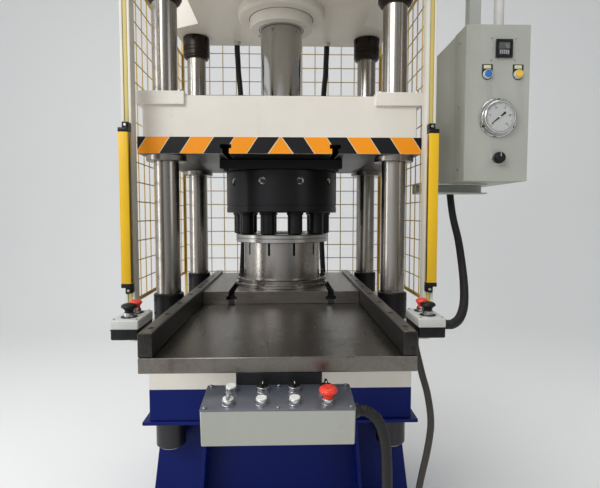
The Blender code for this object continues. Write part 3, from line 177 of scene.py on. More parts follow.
def steel(name, color, rough, stretch, scale, stain, stainColor, metal=1.0, shine=0.5):
    f = Finish(name, shine)
    grain = f.noise(scale, 4.0, 0.75, stretch)
    stained = f.stains(stain)
    tone = f.mix(grain.ease(0.25, 0.75), shade(color, 0.80), color)
    tone = f.mix(stained, tone, stainColor)
    return f.use(tone, rough + (grain - 0.5) * 0.22 + stained * 0.2, grain, 0.5, 0.00006, metal)


def turnedFinish(name, color, rough, pitch, metal, stain, stainColor, shine=0.5):
    f = Finish(name, shine)
    x, y, z = f.axes()
    ring = (z * pitch + f.noise(30.0, 2.0) * 3.0).sine() * 0.5 + 0.5
    patch = f.noise(14.0, 5.0, 0.65)
    streak = f.noise(40.0, 3.0, 0.7, (1.0, 1.0, 0.05))
    tone = f.mix(streak * 0.5, color, shade(color, 0.72))
    tone = f.mix(patch.ease(0.52, 0.80) * stain, tone, stainColor)
    return f.use(tone, rough + (patch - 0.5) * 0.18 + streak * 0.08, ring, 0.05, 0.00002, metal)


def plastic(name, color, rough=0.38, shine=0.5):
    f = Finish(name, shine)
    smear = f.noise(24.0, 4.0, 0.6)
    tone = f.mix(smear.ease(0.45, 0.75) * 0.35, color, shade(color, 0.8))
    return f.use(tone, rough + (smear - 0.5) * 0.18, f.noise(900.0, 2.0, 0.5), 0.25, 0.00008)


creamTone = (0.660, 0.625, 0.555)
noStretch = (1.0, 1.0, 1.0)
cream = paint("creamPaint", creamTone, 0.40, 0.35)
creamDark = paint("creamPaintTrim", (0.60, 0.57, 0.49), 0.42, 0.4)
screwCream = paint("screwCream", (0.600, 0.570, 0.500), 0.40, 0.3)
blue = paint("bluePaint", (0.0010, 0.0075, 0.098), 0.36, 0.25, (0.030, 0.032, 0.045), 0.14)
cabinetGrey = paint("cabinetPaint", (0.400, 0.415, 0.370), 0.46, 0.20)
yellow = paint("curtainYellow", (0.680, 0.410, 0.014), 0.38, 0.20, (0.20, 0.13, 0.03), 0.2)
stripYellow = paint("postStrip", (0.520, 0.410, 0.110), 0.45, 0.25)
wireYellow = paint("guardYellow", (0.520, 0.330, 0.050), 0.45, 0.35, (0.20, 0.13, 0.05))
tableSteel = steel("tableSteel", (0.205, 0.187, 0.167), 0.30, (1.0, 0.10, 1.0), 90.0, 0.75,
                   (0.075, 0.060, 0.050))
blackPlate = steel("blackPlate", (0.016, 0.016, 0.017), 0.42, noStretch, 60.0, 0.4,
                   (0.01, 0.01, 0.01), 0.6, 0.2)
lidSteel = steel("lidSteel", (0.150, 0.160, 0.190), 0.36, (0.06, 1.0, 1.0), 220.0, 0.30,
                 (0.06, 0.06, 0.07), 0.6)
zinc = steel("zincPlate", (0.520, 0.520, 0.500), 0.32, noStretch, 200.0, 0.3, (0.25, 0.24, 0.22))
screwBlack = steel("screwBlack", (0.045, 0.045, 0.048), 0.38, noStretch, 300.0, 0.3, (0.02, 0.02, 0.02), 0.8)
blackOxide = turnedFinish("blackOxide", (0.022, 0.022, 0.023), 0.30, 2200.0, 0.75, 0.45,
                          (0.01, 0.01, 0.01), 0.2)
nutSteel = turnedFinish("nutSteel", (0.030, 0.025, 0.021), 0.32, 2000.0, 0.75, 0.4,
                        (0.012, 0.010, 0.009), 0.2)
dieSteel = turnedFinish("dieSteel", (0.360, 0.338, 0.312), 0.22, 1900.0, 1.0, 0.45, (0.15, 0.125, 0.10))
ringSteel = turnedFinish("ringSteel", (0.440, 0.425, 0.408), 0.26, 2500.0, 1.0, 0.30, (0.20, 0.18, 0.16))
chrome = turnedFinish("hardChrome", (0.345, 0.322, 0.290), 0.20, 900.0, 1.0, 0.22, (0.20, 0.17, 0.14))
brightChrome = turnedFinish("rodChrome", (0.480, 0.475, 0.460), 0.08, 600.0, 1.0, 0.10, (0.35, 0.33, 0.31))
ringChrome = turnedFinish("ringChrome", (0.560, 0.555, 0.540), 0.20, 3000.0, 1.0, 0.15, (0.30, 0.28, 0.26))
gaugeChrome = turnedFinish("gaugeChrome", (0.640, 0.640, 0.630), 0.12, 800.0, 1.0, 0.12, (0.35, 0.34, 0.32))
blackPlastic = plastic("blackPlastic", (0.0055, 0.0055, 0.0060), 0.40, 0.25)
# near black for print and dark joints, and also painted shade on the walls of the nut slots and die windows
inkBlack = plastic("inkBlack", (0.006, 0.006, 0.006), 0.5, 0.2)
rubber = plastic("cableRubber", (0.011, 0.0105, 0.010), 0.52, 0.3)
brownRubber = plastic("cableBrown", (0.040, 0.034, 0.029), 0.50, 0.3)
wrapWhite = plastic("cableWrap", (0.560, 0.550, 0.520), 0.45)
whitePlastic = plastic("whitePlastic", (0.640, 0.635, 0.600), 0.34)
handWhite = plastic("handWhite", (0.470, 0.475, 0.450), 0.36)
redPlastic = plastic("redPlastic", (0.680, 0.045, 0.025), 0.30, 0.3)
bluePlastic = plastic("bluePlastic", (0.020, 0.130, 0.420), 0.30)
yellowPlastic = plastic("yellowPlastic", (0.720, 0.440, 0.020), 0.30)
greyPlastic = plastic("leverGrey", (0.230, 0.235, 0.240), 0.36)
paleRing = plastic("paleRing", (0.560, 0.570, 0.540), 0.30)
legendPale = plastic("legendPale", (0.560, 0.520, 0.300), 0.45)
darkGlass = plastic("darkWindow", (0.012, 0.012, 0.014), 0.10)
lampWindow = plastic("counterWindow", (0.075, 0.080, 0.070), 0.12)
dialWhite = plastic("dialWhite", (0.720, 0.720, 0.690), 0.45)
dialPale = plastic("dialPale", (0.420, 0.425, 0.405), 0.30)


def bandFinish(band):  # stripes that lean outwards on both sides of a triangle in the middle
    f = Finish("hazardBand", 0.2)
    x, y, z = f.axes()
    across = abs(x - pressX)
    rise = (z - band["low"]) / band["height"]
    lean = across + rise * band["lean"]
    fall = across + rise * band["triangle"]
    place = ((lean - band["first"]) / band["pitch"]).fraction() * band["pitch"]
    begun = lean > band["first"]
    orange = ((place < band["width"]) * begun).most(fall < band["triangle"])
    pale = ((place < band["width"] + band["line"]) * begun).most(
        (place > band["pitch"] - band["line"]) * (lean > band["first"] - band["line"]))
    pale = pale.most(fall < band["triangle"] + band["line"] * 1.3)
    rub = f.noise(120.0, 4.0, 0.7).ease(0.60, 0.75) * f.noise(12.0, 3.0).ease(0.45, 0.65) * 0.5
    tone = f.mix(pale, (0.008, 0.008, 0.009), (0.62, 0.50, 0.30))
    tone = f.mix(orange, tone, (0.800, 0.270, 0.010))
    tone = f.mix(rub, tone, (0.16, 0.13, 0.10))
    return f.use(tone, 0.42 + rub * 0.3, f.noise(300.0, 2.0), 0.2, 0.0002)


def linked(name, data):
    made = bpy.data.objects.new(name, data)
    scene.collection.objects.link(made)
    return made


def smoothed(data, angle):
    data.shade_smooth()
    data.set_sharp_from_angle(angle=math.radians(angle))


def plainMesh(thing):  # an object's mesh with its modifiers worked out
    bpy.context.view_layer.update()
    return bpy.data.meshes.new_from_object(thing.evaluated_get(bpy.context.evaluated_depsgraph_get()))


def moved(x=0.0, y=0.0, z=0.0, turn=0.0):
    place = Matrix.Translation((x, y, z))
    return place @ Matrix.Rotation(turn, 4, "X") if turn else place


def spun(angle, axis="Z"):
    return Matrix.Rotation(angle, 4, axis)


def around(count, phase=0.0):  # angles of copies round an axis
    return [phase + 2 * math.pi * k / count for k in range(count)]


class Shape:
    def __init__(self):
        self.mesh = bmesh.new()
        self.finishes = []

    def take(self, part, finish, place=None):
        if place is not None:
            bmesh.ops.transform(part, matrix=place, verts=part.verts)
        if finish not in self.finishes:
            self.finishes.append(finish)
        for face in part.faces:
            face.material_index = self.finishes.index(finish)
        spare = bpy.data.meshes.new("spare")
        part.to_mesh(spare)
        part.free()
        self.mesh.from_mesh(spare)
        bpy.data.meshes.remove(spare)
        return self

    def edged(self, part, finish, edge, place, segments=2):
        if edge:
            bmesh.ops.bevel(part, geom=part.edges[:], offset=edge, segments=segments, affect="EDGES",
                            profile=0.5)
        return self.take(part, finish, place)

    def box(self, low, high, finish, edge=0.0, place=None, segments=2):
        part = bmesh.new()
        bmesh.ops.create_cube(part, size=1.0)
        bmesh.ops.scale(part, vec=[b - a for a, b in zip(low, high)], verts=part.verts)
        bmesh.ops.translate(part, vec=[(a + b) / 2 for a, b in zip(low, high)], verts=part.verts)
        return self.edged(part, finish, edge, place, segments)

    def lathe(self, profile, finish, sides=64, place=None):  # (radius, height) pairs turned about Z
        part = bmesh.new()
        rings = []
        for radius, height in profile:
            rings.append([part.verts.new((radius * math.cos(angle), radius * math.sin(angle), height))
                          for angle in around(sides)[:1 if radius == 0 else sides]])
        pairs = list(zip(rings, rings[1:]))
        if len(rings[0]) > 1:
            pairs.append((rings[-1], rings[0]))
        for lower, upper in pairs:
            for k in range(sides):
                n = (k + 1) % sides
                if len(lower) == 1:
                    part.faces.new((lower[0], upper[n], upper[k]))
                elif len(upper) == 1:
                    part.faces.new((lower[k], lower[n], upper[0]))
                else:
                    part.faces.new((lower[k], lower[n], upper[n], upper[k]))
        bmesh.ops.recalc_face_normals(part, faces=part.faces)
        return self.take(part, finish, place)

    def disc(self, outer, low, high, finish, sides, place=None, edge=(0.0, 0.0), inner=0.0):
        top = [(outer, high - edge[1]), (outer - edge[0], high)] if edge[0] else [(outer, high)]
        return self.lathe([(inner, low), (outer, low)] + top + [(inner, high)], finish, sides, place)

    def prism(self, outline, start, end, finish, axis="Z", place=None, edge=0.0):
        part = bmesh.new()
        levels = []
        for level in (start, end):
            levels.append([part.verts.new((a, b, level) if axis == "Z" else (a, level, b)) for a, b in outline])
        first, last = levels
        part.faces.new(first)
        part.faces.new(last)
        for k in range(len(outline)):
            n = (k + 1) % len(outline)
            part.faces.new((first[k], first[n], last[n], last[k]))
        bmesh.ops.recalc_face_normals(part, faces=part.faces)
        return self.edged(part, finish, edge, place)

    def tube(self, path, radius, finish, sides, wave):
        part = bmesh.new()
        side = Vector((1.0, 0.0, 0.0))
        rings = []
        for k, spot in enumerate(path):
            ahead = path[min(k + 1, len(path) - 1)] - path[max(k - 1, 0)]
            ahead.normalize()
            side = side - ahead * side.dot(ahead)
            if side.length < 0.01:
                side = ahead.orthogonal()
            side.normalize()
            other = ahead.cross(side)
            r = radius - wave[k % len(wave)]
            rings.append([part.verts.new(spot + side * (r * math.cos(angle)) + other * (r * math.sin(angle)))
                          for angle in around(sides)])
        for lower, upper in zip(rings, rings[1:]):
            for k in range(sides):
                n = (k + 1) % sides
                part.faces.new((lower[k], lower[n], upper[n], upper[k]))
        part.faces.new(list(reversed(rings[0])))
        part.faces.new(rings[-1])
        bmesh.ops.recalc_face_normals(part, faces=part.faces)
        return self.take(part, finish)

    def bare(self, name, angle=35, out=True):  # a plain mesh, set out from the press centre
        data = bpy.data.meshes.new(name)
        if out:
            bmesh.ops.translate(self.mesh, vec=(pressX, pressY, 0.0), verts=self.mesh.verts)
        self.mesh.to_mesh(data)
        self.mesh.free()
        for finish in self.finishes:
            data.materials.append(finish)
        smoothed(data, angle)
        return data

    def piece(self, name, body, slot, replaced=(), smooth=35):
        made = linked(name, self.bare(name, smooth))
        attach(made, body)
        if replaced:
            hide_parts(*replaced)
        return made


def softened(name, node, finish, body, edge):  # a CAD node's own form with its edges rounded
    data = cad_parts[node].data.copy()
    shape = bmesh.new()
    shape.from_mesh(data)
    bmesh.ops.remove_doubles(shape, verts=shape.verts, dist=0.00001)
    bmesh.ops.dissolve_limit(shape, angle_limit=math.radians(0.4), verts=shape.verts, edges=shape.edges)
    shape.to_mesh(data)
    shape.free()
    data.name = name
    data.materials.clear()
    data.materials.append(finish)
    made = linked(name, data)
    step = made.modifiers.new("edges", "BEVEL")
    step.width = edge
    step.segments = 2
    step.limit_method = "ANGLE"
    step.angle_limit = math.radians(40)
    smoothed(data, 40)
    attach(made, body)
    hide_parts(node)
    return made


def carved(piece, cutter):  # a hollow in a finished piece, with the cutter's finish inside
    tool = linked("cutter", cutter.bare("cutter"))
    step = piece.modifiers.new("carve", "BOOLEAN")
    step.operation = "DIFFERENCE"
    step.solver = "EXACT"
    step.material_mode = "TRANSFER"
    step.object = tool
    cut = plainMesh(piece)
    piece.modifiers.clear()
    piece.data = cut
    bpy.data.objects.remove(tool)
    smoothed(cut, 35)


print("camera and stage")
view = {"x": 0.0175, "y": -1.9706, "z": 1.2000, "down": 3.53, "right": 1.703, "lens": 28.2}
camera = linked("camera", bpy.data.cameras.new("camera"))
camera.location = (view["x"] + pressX, view["y"] + pressY, view["z"])
camera.rotation_euler = (math.radians(90 - view["down"]), 0.0, math.radians(-view["right"]))
camera.data.lens = view["lens"]
camera.data.sensor_width = 36.0
camera.data.clip_start = 0.02
scene.camera = camera
scene.view_settings.view_transform = "Standard"

light = {"key": 95.0, "side": 30.0, "fill": 16.0, "top": 60.0, "bright": 0.95, "dim": 0.24, "backdrop": 0.90}
softboxes = {  # place, target, size
    "key": ((-2.2, -3.2, 3.4), (0.0, 0.0, 1.2), (2.2, 1.6)),
    "side": ((-3.4, -0.9, 1.6), (0.0, -0.3, 1.3), (0.7, 2.6)),
    "fill": ((2.8, -2.6, 2.2), (0.0, 0.0, 1.1), (1.4, 2.4)),
    "top": ((0.0, 0.2, 4.6), (0.0, 0.0, 1.0), (3.0, 3.0))}
for word, (spot, target, size) in softboxes.items():
    lamp = bpy.data.lights.new(word + "Light", "AREA")
    lamp.shape = "RECTANGLE"
    lamp.size, lamp.size_y = size
    lamp.energy = light[word]
    box = linked(word + "Light", lamp)
    box.location = spot
    box.rotation_euler = (Vector(target) - Vector(spot)).to_track_quat("-Z", "Y").to_euler()

world = bpy.data.worlds.new("studio")
world.use_nodes = True
world.node_tree.nodes.clear()
scene.world = world
sky = Graph(world.node_tree)
sideways = sky.node("ShaderNodeSeparateXYZ", None, {0: sky.node("ShaderNodeTexCoord", out="Generated")})
level = sideways.ease(-0.85, 0.75, light["bright"], light["dim"])  # brighter from the left
lit = sky.node("ShaderNodeBackground", None, {0: (0.95, 0.97, 1.0), 1: level})
seen = sky.node("ShaderNodeBackground", None, {0: (light["backdrop"], light["backdrop"], 0.895)})
toCamera = sky.node("ShaderNodeLightPath", out="Is Camera Ray")
both = sky.node("ShaderNodeMixShader", None, {0: toCamera, 1: lit, 2: seen})
sky.node("ShaderNodeOutputWorld", None, {0: both})

floorPaper = Finish("floorPaper")
feed(floorPaper.tree, floorPaper.shader.inputs["Base Color"], (0.80, 0.80, 0.79))
feed(floorPaper.tree, floorPaper.shader.inputs["Roughness"], 0.9)
sweep = {"front": -4.0, "back": 3.0, "bend": 1.5, "top": 6.0, "half": 7.0, "below": 0.0005}
rise = [(sweep["front"], 0.0), (sweep["back"], 0.0)]
for t in range(1, 9):
    angle = t * math.pi / 16
    rise.append((sweep["back"] + sweep["bend"] * math.sin(angle), sweep["bend"] * (1.0 - math.cos(angle))))
rise.append((sweep["back"] + sweep["bend"], sweep["top"]))
paper = bmesh.new()
rows = [[paper.verts.new((x, y, z - sweep["below"])) for x in (-sweep["half"], sweep["half"])] for y, z in rise]
for near, far in zip(rows, rows[1:]):
    paper.faces.new((near[0], near[1], far[1], far[0]))
floorMesh = bpy.data.meshes.new("studioFloor")
paper.to_mesh(floorMesh)
paper.free()
floorMesh.materials.append(floorPaper.material)
floorMesh.shade_smooth()
linked("studioFloor", floorMesh)

print("cords")


def smoothRoute(points, steps=12):
    spots = [Vector(points[0])]
    for before, start, end, after in zip(points, points[1:], points[2:], points[3:]):
        a, b, c, d = (Vector(p) for p in (before, start, end, after))
        for step in range(steps):
            t = step / steps
            spots.append(0.5 * (2 * b + (c - a) * t + (2 * a - 5 * b + 4 * c - d) * t ** 2
                                + (3 * b - a - 3 * c + d) * t ** 3))
    return spots + [Vector(points[-2]), Vector(points[-1])]


def evenly(spots, gap):
    reach = [0.0]
    for first, second in zip(spots, spots[1:]):
        reach.append(reach[-1] + (second - first).length)
    count = max(2, round(reach[-1] / gap))
    even = []
    index = 0
    for step in range(count + 1):
        goal = reach[-1] * step / count
        while index < len(reach) - 2 and reach[index + 1] < goal:
            index += 1
        share = (goal - reach[index]) / max(reach[index + 1] - reach[index], 1e-9)
        even.append(spots[index].lerp(spots[index + 1], min(share, 1.0)))
    return even, reach[-1]


def laidCord(name, node, points, radius, finish, slot, pitch=0.024, depth=0.0):
    spots, length = evenly(smoothRoute(points), pitch / 4)
    wave = [0.0, 0.5 * depth, depth, 0.5 * depth]
    made = Shape().tube(spots, radius, finish, 14, wave).piece(name, "frame", slot, [node], smooth=60)
    print(f"  {name}: {length:.3f} m")


conduit = {"radius": 0.014, "pitch": 0.0060, "depth": 0.0012, "wrap": 0.0120, "consolePart": 0.9,
           "riserPart": 1.3}
hose = {"x": 0.215, "y": 0.414, "low": 0.750, "radius": 0.013}
cable = {"radius": 0.010}
gland = {"length": 0.016, "pedestal": -0.238}
cabLow, cabHigh = nodeBox("cabinet_body")
handLow, handHigh = nodeBox("hand_box_right")
consoleSide = nodeBox("console_box")[1][0]
pedestalFront = gland["pedestal"] - gland["length"]
crownLow = nodeBox("lock_nut_front_left")[1][2] + seat
crownHigh = nodeBox("crown")[1]
laidCord("cabinetConduit", "cabinet_conduit", [
    (0.665, -0.125, cabLow[2] - seat), (0.665, -0.125, 1.280), (0.667, -0.155, 1.195), (0.668, -0.215, 1.106),
    (0.650, -0.300, 1.033), (0.622, -0.400, 0.966), (0.580, -0.512, 0.917), (0.533, -0.602, 0.893),
    (0.492, -0.650, 0.886), (handHigh[0] + seat, -0.650, 0.886)],
    conduit["radius"], rubber, "cable_rubber", conduit["pitch"], conduit["depth"])
laidCord("consoleConduit", "console_conduit", [
    (consoleSide + seat, -0.945, 0.762), (0.193, -0.945, 0.762), (0.221, -0.944, 0.742), (0.241, -0.938, 0.690),
    (0.250, -0.925, 0.600), (0.256, -0.895, 0.450), (0.266, -0.840, 0.280), (0.285, -0.745, 0.120),
    (0.305, -0.630, 0.050), (0.322, -0.500, 0.040), (0.330, -0.400, 0.060), (0.330, -0.340, 0.100),
    (0.330, -0.285, 0.120), (0.330, pedestalFront - seat, 0.120)],
    conduit["radius"] * conduit["consolePart"], rubber, "cable_rubber", conduit["pitch"], conduit["depth"])
laidCord("handCable", "hand_cable", [
    (0.388, -0.650, handLow[2] - seat), (0.388, -0.650, 0.828), (0.406, -0.655, 0.750), (0.426, -0.652, 0.680),
    (0.439, -0.645, 0.596), (0.434, -0.635, 0.512), (0.420, -0.615, 0.400), (0.410, -0.570, 0.230),
    (0.402, -0.510, 0.100), (0.396, -0.430, 0.045), (0.392, -0.350, 0.055), (0.392, -0.320, 0.090),
    (0.392, -0.275, 0.120), (0.392, pedestalFront - seat, 0.120)], cable["radius"], brownRubber, "cable_rubber")
laidCord("cabinetRiser", "cabinet_riser", [
    (0.806, -0.205, cabHigh[2] + seat), (0.806, -0.205, 2.000), (0.806, -0.207, 2.140), (0.790, -0.215, 2.240),
    (0.735, -0.230, 2.320), (0.640, -0.250, 2.357), (0.540, -0.260, 2.360),
    (crownHigh[0] + seat, -0.260, 2.360)],
    conduit["radius"] * conduit["riserPart"], wrapWhite, "white_plastic", conduit["wrap"], 0.0010)
x, y, low = hose["x"], hose["y"], hose["low"]
route = [(x, 0.345, crownLow - gland["length"] - seat), (x, 0.346, 1.990), (x, 0.378, 1.945), (x, 0.408, 1.895),
         (x - 0.008, y, 1.800), (x - 0.024, y, 1.500), (x - 0.020, y, 1.150), (x - 0.006, y, low + 0.110),
         (x, y, low + 0.050), (x, y - 0.006, low + 0.016), (x, y - 0.018, low),
         (x, nodeBox("bed_beam")[1][1] + seat, low)]
for side, word in bothSides:
    laidCord("backHose" + word.title(), "back_hose_" + word, [(side * px, py, pz) for px, py, pz in route],
             hose["radius"], rubber, "cable_rubber")

print("beams and plates")
for name, node, finish, slotName, edge in (
        ("crownBody", "crown", cream, "cream_paint", 0.004),
        ("bedBody", "bed_beam", cream, "cream_paint", 0.003),
        ("baseBody", "base_frame", blue, "blue_paint", 0.002),
        ("tableTop", "table_plate", tableSteel, "ground_steel", 0.0012)):
    softened(name, node, finish, "frame", edge)

slot = {"x": 0.185, "neck": 0.011, "foot": 0.019, "depth": 0.018, "footHigh": 0.014}


def slotShadeMask(x, z, face, up):  # 1 on the walls of the two T-slots, where painted shade goes
    rim = 0.0004
    across = abs(abs(x - pressX) - slot["x"])
    inside = (z - face) * up
    foot = (across < slot["foot"] + rim) * (inside > slot["depth"] - rim)
    return (foot * (inside < slot["depth"] + slot["footHigh"] + rim)).most(across < slot["neck"] + rim)


def bolsterFinish(top):
    f = Finish("bolsterSteel")
    x, y, z = f.axes()
    grain = f.noise(90.0, 4.0, 0.75, (0.12, 1.0, 1.0))
    tone = f.mix(grain.ease(0.25, 0.75), (0.165, 0.150, 0.134), (0.225, 0.203, 0.183))
    tone = f.mix(f.stains(0.6), tone, (0.09, 0.07, 0.06))
    # painted shade: the T-slot walls are darkened to near black, made rougher and not metal
    dark = slotShadeMask(x, z, top, -1.0)
    tone = f.mix(dark, tone, (0.012, 0.011, 0.010))
    return f.use(tone, 0.34 + (grain - 0.5) * 0.22 + dark * 0.4, grain, 0.5, 0.00006, 1.0 - dark)


def railFinish(top):
    f = Finish("railSteel")
    x, y, z = f.axes()
    grain = f.noise(70.0, 4.0, 0.75, (1.0, 0.15, 1.0))
    tone = f.mix(z > top - 0.0012, (0.022, 0.021, 0.020), (0.115, 0.105, 0.092))
    tone = f.mix(f.noise(6.0, 5.0, 0.65).ease(0.45, 0.75) * 0.5, tone, (0.040, 0.036, 0.031))
    tone = f.mix(grain.ease(0.3, 0.8) * 0.35, tone, (0.09, 0.085, 0.078))
    return f.use(tone, 0.38 + (grain - 0.5) * 0.25, grain, 0.5, 0.00006, 0.8)


def slidePaint(low):
    f = Finish("slidePaint")
    x, y, z = f.axes()
    broad, tone = f.clouds(0.6, creamTone, (0.585, 0.550, 0.480))
    tone = f.mix(f.streaks() * 0.35, tone, (0.20, 0.18, 0.15))
    # painted shade: the slide's underside and the walls of its T-slots are darkened to near black, kept partly
    # metal for bare steel
    underShade = (z < low + 0.0004).most(slotShadeMask(x, z, low, 1.0) * (z < low + 0.034))
    wiper = z < low - 0.0008
    tone = f.mix(underShade, tone, (0.018, 0.018, 0.019))
    tone = f.mix(wiper, tone, (0.230, 0.215, 0.195))
    return f.use(tone, 0.40 + (broad - 0.5) * 0.15 - wiper * 0.12, f.noise(420.0, 2.0), 0.3, 0.0002,
                 underShade * 0.7 + wiper * 0.3)


softened("bolsterPlate", "bolster", bolsterFinish(nodeBox("bolster")[1][2]), "frame", 0.0010)
rail = {"x": 0.309, "first": -0.840, "pitch": 0.160, "count": 7, "sink": 0.0045, "sinkRadius": 0.0085,
        "top": nodeBox("rail_left")[1][2]}
railHoles = [rail["first"] + rail["pitch"] * k for k in range(rail["count"])]
railMetal = railFinish(rail["top"])
for side, word in bothSides:
    bar = softened("railBar_" + word, "rail_" + word, railMetal, "frame", 0.0015)
    sinks = Shape()
    for y in railHoles:
        sinks.disc(rail["sinkRadius"], rail["top"] - rail["sink"], rail["top"] + 0.004, screwBlack, 28,
                   moved(side * rail["x"], y))
    carved(bar, sinks)
softened("toolPlate", "upper_plate", blackPlate, "slide_beam", 0.0015)
for name, node, finish, slotName, edge in (
        ("armTube", "cabinet_arm", cabinetGrey, "grey_paint", 0.003),
        ("shelfChannel", "cabinet_shelf", cabinetGrey, "grey_paint", 0.0008),
        ("cabinetShell", "cabinet_body", cabinetGrey, "grey_paint", 0.0012),
        ("coverPlate", "bed_cover", blackPlastic, "black_plastic", 0.0010)):
    softened(name, node, finish, "frame", edge)
slideFinish = slidePaint(nodeBox("upper_plate")[1][2] + seat)
softened("slideBody", "slide", slideFinish, "slide_beam", 0.003)

print("turned pieces")


def heights(name):
    low, high = nodeBox(name)
    return low[2], high[2]


def stepped(outer, level, cuts):  # profile points given as how far in and how far up
    return [(outer - cut, level + up) for cut, up in cuts]


def rounded(radius, level, fillet, steps=6):  # lower outer corner of a turned part
    turns = [math.pi / 2 * k / steps for k in range(steps + 1)]
    return [(radius - fillet + fillet * math.sin(t), level + fillet - fillet * math.cos(t)) for t in turns]


col = {"x": 0.400, "y": 0.295, "radius": 0.0425, "neck": 0.0400, "collar": 0.0520, "nut": 0.0600, "sides": 72,
       "threads": 9, "thread": 0.003, "nutHigh": 0.090, "collarHigh": 0.093, "nutSlots": 6}
bedTop = nodeBox("bed_beam")[1][2] + seat
crownTop = nodeBox("crown")[1][2]
nutLow = crownTop + seat
columnLow, columnTop = heights("column_front_left")
corners = {f"{row}_{word}": (side * col["x"], y) for row, y in (("front", -col["y"]), ("back", col["y"]))
           for side, word in bothSides}
radius, neck, collar, nut = col["radius"], col["neck"], col["collar"], col["nut"]
thread = []
for k in range(col["threads"]):
    level = crownTop + col["nutHigh"] + 0.0005 + col["thread"] * k
    thread += [(neck, level), (neck - 0.0014, level + col["thread"] / 2)]
shaft = [(0.0, columnLow), (neck - 0.002, columnLow), (neck, columnLow + 0.002), (neck, bedTop + 0.001),
         (radius, bedTop + 0.001), (radius, crownLow - seat), (neck, crownLow - seat)] + thread
shaft += [(neck - 0.0015, columnTop - 0.0015), (neck - 0.003, columnTop), (0.0, columnTop)]
low, high = columnLow + 0.008, columnLow + 0.115
baseNut = [(neck + 0.0002, low), (collar - 0.004, low), (collar, low + 0.004), (collar, high - 0.002),
           (collar - 0.002, high), (neck + 0.0002, high)]
high = bedTop + col["collarHigh"]
bedCollar = [(radius + 0.0002, bedTop), (collar - 0.001, bedTop), (collar, bedTop + 0.001),
             (collar, high - 0.004), (collar - 0.002, high - 0.0015), (radius + 0.0025, high),
             (radius + 0.0002, high)]
low, high = nodeBox("lock_nut_front_left")[0][2], crownLow - seat
lockNut = [(radius + 0.0005, low)] + stepped(nut, low, (
    (0.010, 0.0), (0.005, 0.005), (0.005, 0.010), (0.0, 0.014), (0.0, 0.028), (0.003, 0.030), (0.003, 0.034),
    (0.0, 0.036), (0.0, 0.048), (0.0015, 0.0495), (0.0, 0.051)))
lockNut += [(nut, high - 0.002), (nut - 0.002, high), (radius + 0.0005, high)]
for word, (x, y) in corners.items():
    at = moved(x, y)
    rod = Shape().lathe(shaft, chrome, col["sides"], at)
    rod.lathe(baseNut, screwBlack, 48, at)
    rod.lathe(bedCollar, blackOxide, col["sides"], at)
    rod.disc(nut, nutLow, crownTop + col["nutHigh"], blackOxide, 48, at, (0.003, 0.003), neck + 0.0002)
    rod.piece("columnRod_" + word, "frame", "hard_chrome", ["column_" + word])
    ring = Shape().lathe(lockNut, nutSteel, col["sides"], at)
    ring = ring.piece("lockRing_" + word, "frame", "blackened_steel", ["lock_nut_" + word])
    # painted shade: the walls of the nut's slots take the near-black finish
    slots = Shape()
    for angle in around(col["nutSlots"], math.pi / 6):
        slots.box((nut - 0.006, -0.005, low + 0.074), (nut + 0.010, 0.005, high - 0.002), inkBlack, 0.0,
                  at @ spun(angle))
    carved(ring, slots)

ram = {"radius": 0.0840, "foot": 0.0860, "footHigh": 0.038}
radius, foot = ram["radius"], ram["foot"]
low, high = heights("piston_rod")
rod = Shape().lathe([(0.0, low), (foot - 0.0015, low), (foot, low + 0.0015), (foot, low + ram["footHigh"]),
                     (radius, low + ram["footHigh"] + 0.003), (radius, high - 0.004), (radius - 0.004, high),
                     (0.0, high)], brightChrome, 96)
rod.piece("rodBar", "slide_beam", "hard_chrome", ["piston_rod"])

cyl = {"gland": 0.127, "flange": 0.176, "body": 0.150, "nut": 0.190, "bore": 0.0845, "plug": 0.010,
       "flangeHigh": 0.035, "ports": (0.095, 0.195)}
gland, flange, body, nut, bore, plug = [cyl[key] for key in ("gland", "flange", "body", "nut", "bore", "plug")]
cylLow, cylHigh = heights("main_cylinder")
flangeLow = crownLow - seat - cyl["flangeHigh"]
wall = [(bore, cylLow)] + rounded(gland, cylLow, 0.005) + [(gland, flangeLow)]
wall += rounded(flange, flangeLow, 0.014)
wall += [(flange, crownLow - seat), (body, crownLow - seat), (body, nutLow), (nut - 0.003, nutLow),
         (nut, nutLow + 0.003), (nut, nutLow + 0.057), (nut - 0.003, nutLow + 0.060), (body, nutLow + 0.060),
         (body, cylHigh - 0.008), (body - 0.008, cylHigh), (plug, cylHigh), (plug, cylHigh - 0.045),
         (bore + 0.015, cylHigh - 0.045), (bore + 0.015, crownLow + 0.020), (bore, crownLow + 0.020)]
shape = Shape().lathe(wall, cream, 96)
shape.disc(plug - 0.0002, cylHigh - 0.040, cylHigh - 0.0005, screwBlack, 24)
for radius, level in ((bore + 0.004, cylLow), (gland + 0.0006, flangeLow)):  # dark joint lines
    shape.disc(radius + 0.0025, level - 0.0003, level + 0.0002, inkBlack, 96, inner=radius)
for up in cyl["ports"]:  # oil ports behind, above the nut
    port = moved(0.0, body - 0.001, nutLow + up, -math.pi / 2)
    for radius, low, high, finish, count in ((0.024, 0.0, 0.010, cream, 40),
                                             (0.017, 0.009, 0.024, screwBlack, 6),
                                             (0.011, 0.023, 0.034, zinc, 24)):
        shape.disc(radius, low, high, finish, count, port, (0.002, 0.002))
shape.piece("cylinderBody", "frame", "cream_paint", ["main_cylinder"])

